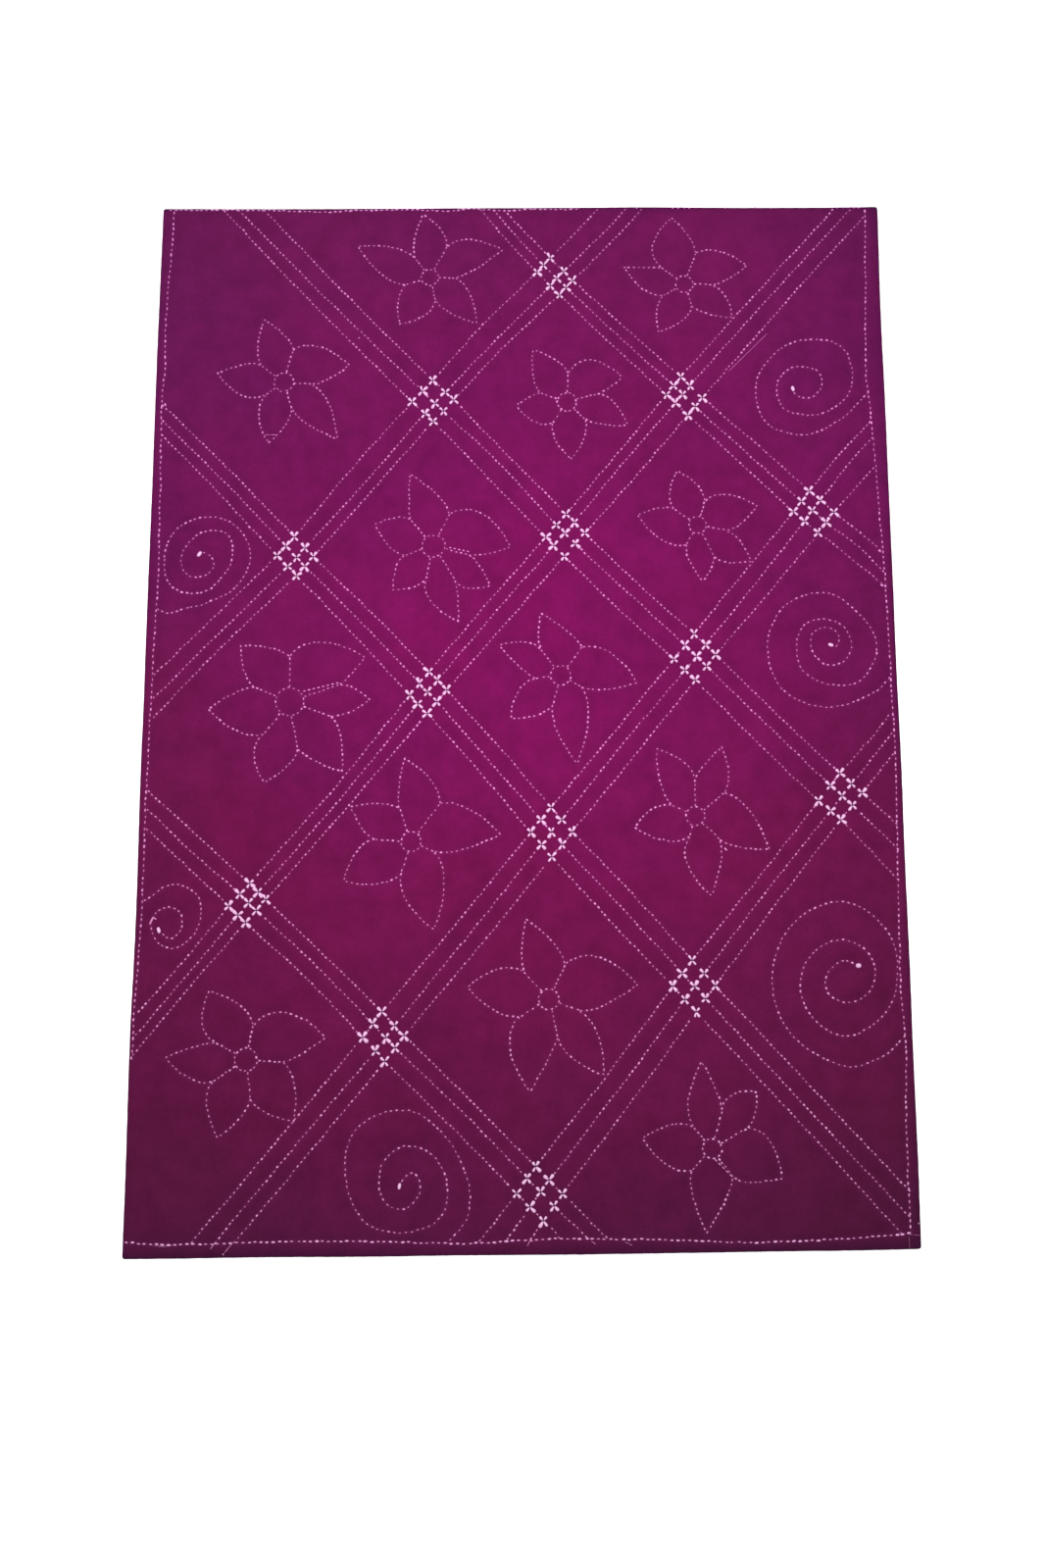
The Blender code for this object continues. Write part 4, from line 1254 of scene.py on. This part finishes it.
def fibre_fuzz():
    """A fine uneven height, as of short fibres that stand off the yarn."""
    group, given, result = new_group("fibre_fuzz", (
        ("Place", "NodeSocketVector", None), ("Fineness", "NodeSocketFloat", 2500.0)),
        "Height", "NodeSocketFloat")
    fuzz = add_node(group, "ShaderNodeTexNoise", Vector=given["Place"], Scale=given["Fineness"],
                    Detail=2.0, Roughness=0.65)
    feed(group, result, fuzz.outputs["Fac"])
    return group


dye_group, light_pool_group, fuzz_group = uneven_dye(), fading(), fibre_fuzz()
print("groups:", dye_group.name, light_pool_group.name, fuzz_group.name)

# %% [markdown]
# The ground is a soft plain weave: yarns a little under half a millimetre apart, crossing over and
# under, with a thick slub in a yarn here and there.  Two bands of waves, one each way, make the
# weave as a height, and painted shade makes the gaps between the yarns a little darker too.  The dye
# is a deep plum, painted brighter in its upper middle as a pool of light, with painted shade where a
# row draws the cloth in, and the worn cotton has a faint sheen at low angles.

# %% Cloth finish
def finish(name, **values):
    """A new material with its shader's steady values set, its node tree and the shader."""
    material = bpy.data.materials.new(name)
    material.use_nodes = True
    tree = material.node_tree
    shader = tree.nodes["Principled BSDF"]
    for socket_name, value in values.items():
        shader.inputs[socket_name.replace("_", " ")].default_value = value
    return material, tree, shader.inputs


def value_of(tree, attribute, scale=1.0):
    """A value kept by each point of the piece, times a scale."""
    kept = add_node(tree, "ShaderNodeAttribute", attribute_name=attribute)
    return number(tree, "MULTIPLY", kept.outputs["Fac"], scale)


# the cloth's colour in the painted pool of light and in the painted dim beyond it, at some places up
# the cloth, in metres: the lower part is redder
LIT_ALONG = (
    (-0.62, (0.158, 0.0046, 0.0730, 1)), (-0.48, (0.164, 0.0046, 0.0680, 1)),
    (-0.22, (0.164, 0.0046, 0.0680, 1)), (-0.08, (0.156, 0.0046, 0.0747, 1)))
DIM_ALONG = (
    (-0.62, (0.028, 0.0072, 0.0175, 1)), (-0.48, (0.028, 0.0070, 0.0162, 1)),
    (-0.28, (0.030, 0.0072, 0.0205, 1)), (-0.08, (0.036, 0.0073, 0.0165, 1)),
    (0.30, (0.047, 0.0072, 0.0450, 1)), (0.62, (0.067, 0.0076, 0.0475, 1)))


# the colour that painted shade leads to, and the colour of the thread beneath the face
SHADE_COLOUR, THREAD_BENEATH = (0.012, 0.004, 0.020, 1), (0.36, 0.045, 0.21, 1)
YARNS, SLUB = 690.0, 1.4    # waves as close as the yarns lie, and how uneven the yarns are


def through_stops(tree, value, stops):
    """A colour that a value leads through its stops."""
    low, high = stops[0][0], stops[-1][0]
    part = add_node(tree, "ShaderNodeMapRange", value, From_Min=low, From_Max=high)
    ramp = add_node(tree, "ShaderNodeValToRGB", part.outputs["Result"])
    marks = ramp.color_ramp.elements
    marks.remove(marks[-1])
    marks[0].color = stops[0][1]
    for place, colour in stops[1:]:
        marks.new((place - low) / (high - low)).color = colour
    return ramp.outputs["Color"]


def read_places(tree):
    """The texture coordinates, and how far up the cloth a point lies."""
    place = tree.nodes.new("ShaderNodeTexCoord").outputs
    return place, add_node(tree, "ShaderNodeSeparateXYZ", place["Object"]).outputs["Y"]


def cloth_finish():
    """Plum cotton: its dye and a painted pool of light by place, painted shade where the rows draw it
    in, and the weave.
    """
    material, tree, shader = finish("plum_cotton", Roughness=0.92, Specular_IOR_Level=0.02,
                                    Sheen_Weight=0.05, Sheen_Roughness=0.35,
                                    Sheen_Tint=(0.60, 0.03, 0.35, 1))
    coordinates, up = read_places(tree)
    place = coordinates["Object"]
    # painted pool of light: the plum is painted brighter in the upper middle and dimmer towards the
    # hems
    plum = mixed(tree, placed(tree, light_pool_group, Place=place), through_stops(tree, up, DIM_ALONG),
                 through_stops(tree, up, LIT_ALONG))
    dye = placed(tree, dye_group, Place=place, Colour=plum, Depth=0.42)
    # painted shade where the rows draw the cloth in, in the holes and on the hems' folds
    shaded = mixed(tree, value_of(tree, "drawn_in"), dye, SHADE_COLOUR)
    pinker = mixed(tree, value_of(tree, "thread_through", 0.10), shaded, THREAD_BENEATH)

    waves = [add_node(tree, "ShaderNodeTexWave", wave_type="BANDS", bands_direction=direction,
                      Vector=place, Scale=YARNS, Distortion=0.6, Detail=1.0, Detail_Scale=0.4)
             for direction in ("X", "Y")]
    weave = number(tree, "MULTIPLY", *(wave.outputs["Fac"] for wave in waves))
    fuzz = placed(tree, fuzz_group, Place=place, Fineness=900.0)
    slub = number(tree, "MULTIPLY_ADD", fuzz, SLUB, weave)
    bump = add_node(tree, "ShaderNodeBump", Strength=0.45, Distance=0.00006, Height=slub)
    feed(tree, shader["Normal"], bump.outputs["Normal"])

    # painted shade: the gaps between the yarns are painted darker than their crowns, and the slubs vary
    # the yarn's own tone; over the whole it evens out
    yarn_tone_and_gap_shade = add_node(tree, "ShaderNodeMapRange", slub, From_Min=0.4, From_Max=1.6,
                          To_Min=0.72, To_Max=1.40)
    feed(tree, shader["Base Color"], vector(tree, "SCALE", pinker, Scale=yarn_tone_and_gap_shade.outputs["Result"]))
    return material


cloth.data.materials.append(cloth_finish())
print("cloth finish on", cloth.name)

# %% [markdown]
# The thread is stranded cotton, a pale rose, painted darker and greyer towards the hems, most of all
# at the lower end, as painted falloff of the light from the upper middle.  Its strands show as a
# slanting twist with painted shade in its grooves, which reads the map of each stitch, and each
# stitch is as light or dull as its own shade says.

# %% Thread finish
# each tone: its colour in the painted pool of light, and its painted dim colour low and high on the
# cloth
Tone = namedtuple("Tone", "fresh worn_low worn_high")
LOW_PLACE, HIGH_PLACE = -0.4, 0.45    # metres up the cloth, between which the dimmed tone changes
TWIST_TURNS, TWIST_SLANT = 2.0, 38
GROOVE_SHADE = 0.80                         # painted shade: how light a groove between strands is against a strand


def thread_finish(name, light, dull, sheen):
    """A stranded thread; its light and its dull tone each have a colour in the painted pool of light
    and two dimmed ones beyond it.
    """
    material, tree, shader = finish(name, Roughness=0.6, Specular_IOR_Level=0.3,
                                    Sheen_Weight=sheen, Sheen_Roughness=0.4)
    coordinates, up = read_places(tree)
    place = coordinates["Object"]
    # painted pool of light: the thread is painted brighter in the upper middle
    fresh = placed(tree, light_pool_group, Place=place)
    tones = []
    for tone in (dull, light):
        dimmed = through_stops(tree, up, ((LOW_PLACE, tone.worn_low), (HIGH_PLACE, tone.worn_high)))
        tones.append(mixed(tree, fresh, dimmed, tone.fresh))
    dye = placed(tree, dye_group, Place=place, Depth=0.08,
                 Colour=mixed(tree, value_of(tree, "thread_shade"), *tones))

    slant = add_node(tree, "ShaderNodeMapping", Vector=coordinates["UV"],
                     Scale=(TWIST_TURNS, 1.0, 1.0), Rotation=(0, 0, math.radians(TWIST_SLANT)))
    strands = add_node(tree, "ShaderNodeTexWave", wave_type="BANDS", bands_direction="X",
                       Vector=slant.outputs["Vector"], Scale=1.1, Distortion=0.3).outputs["Fac"]
    # painted shade in the grooves between the strands
    groove_shade = add_node(tree, "ShaderNodeMapRange", strands, From_Max=0.35, To_Min=GROOVE_SHADE)
    feed(tree, shader["Base Color"], vector(tree, "SCALE", dye, Scale=groove_shade.outputs["Result"]))

    fuzz = placed(tree, fuzz_group, Place=place, Fineness=6000.0)
    bump = add_node(tree, "ShaderNodeBump", Strength=0.6, Distance=0.00012,
                    Height=number(tree, "MULTIPLY_ADD", fuzz, 0.5, strands))
    feed(tree, shader["Normal"], bump.outputs["Normal"])
    return material


running_thread = thread_finish(
    "running_thread", sheen=0.10,
    light=Tone((0.98, 0.285, 0.78, 1), (0.60, 0.38, 0.54, 1), (0.64, 0.26, 0.56, 1)),
    dull=Tone((0.66, 0.125, 0.44, 1), (0.38, 0.130, 0.25, 1), (0.46, 0.085, 0.30, 1)))
plump_thread = thread_finish(
    "plump_thread", sheen=0.12,
    light=Tone((0.90, 0.47, 0.79, 1), (0.73, 0.45, 0.67, 1), (0.73, 0.45, 0.67, 1)),
    dull=Tone((0.63, 0.29, 0.53, 1), (0.60, 0.29, 0.52, 1), (0.60, 0.29, 0.52, 1)))
for piece in sewing:
    plump = piece.name in ("cross_leaves", "spiral_knots")
    piece.data.materials.append(plump_thread if plump else running_thread)
print("thread finishes on", len(sewing), "pieces")

# %% [markdown]
# ## Table and light
#
# The quilt lies on a plain white table.  One wide soft lamp hangs high over it, so that every
# stitch is lit alike; a cool lamp from beyond the far end grazes the cloth and picks out the
# ripple; and a weak even sky fills what is left.  The table glows a little of itself, as a lit
# table for laying out does, so that it stays white all round.  Where the camera looks past the
# table it sees the tone of the table's far end, so no horizon cuts across a low view.

# %% Table
bpy.ops.object.select_all(action="DESELECT")
bpy.ops.mesh.primitive_plane_add(size=12.0, location=(0, 0, 0))
table = bpy.context.object
table.name = "white_table"
table_finish, *_ = finish("white_table", Roughness=0.9, Specular_IOR_Level=0.2,
                          Base_Color=(0.9, 0.9, 0.9, 1), Emission_Color=(1, 1, 1, 1),
                          Emission_Strength=0.35)
table.data.materials.append(table_finish)
print("table", table.dimensions.x, "m wide")

# %% [markdown]
# Each lamp is a soft disk that the camera doesn't see.  The sky is two even tones: one that lights
# the scene, and one that only the camera sees.

# %% Lamps and sky
def lamp(name, place, aim, size, power, colour):
    """A round soft lamp at a place, turned to an aim, that the camera doesn't see."""
    bpy.ops.object.light_add(type="AREA", location=place)
    light = bpy.context.object
    light.name = name
    light.data.shape = "DISK"
    light.data.size = size
    light.data.energy = power
    light.data.color = colour
    light.rotation_euler = (Vector(aim) - Vector(place)).to_track_quat("-Z", "Y").to_euler()
    light.visible_camera = False
    print(name, power, "W")
    return light


lamp("wide_lamp", place=(0.0, 0.15, 2.4), aim=(0.0, 0.15, 0.0), size=1.1, power=70.0,
     colour=(1.0, 0.98, 0.97))
lamp("grazing_lamp", place=(-0.6, 2.6, 1.1), aim=(0.0, 0.2, 0.0), size=0.8, power=22.0,
     colour=(0.80, 0.90, 1.0))

world = bpy.context.scene.world or bpy.data.worlds.new("sky")
bpy.context.scene.world = world
world.use_nodes = True
sky = world.node_tree
sky.nodes.clear()
fill = add_node(sky, "ShaderNodeBackground", Color=(0.90, 0.95, 1.0, 1), Strength=0.25)
seen = add_node(sky, "ShaderNodeBackground", Color=(0.553, 0.564, 0.575, 1), Strength=1.0)
rays = sky.nodes.new("ShaderNodeLightPath")
choose = add_node(sky, "ShaderNodeMixShader", rays.outputs["Is Camera Ray"], fill.outputs[0],
                  seen.outputs[0])
add_node(sky, "ShaderNodeOutputWorld", Surface=choose.outputs[0])
bpy.context.scene.view_settings.view_transform = "Standard"
print("sky fill", fill.inputs["Strength"].default_value)
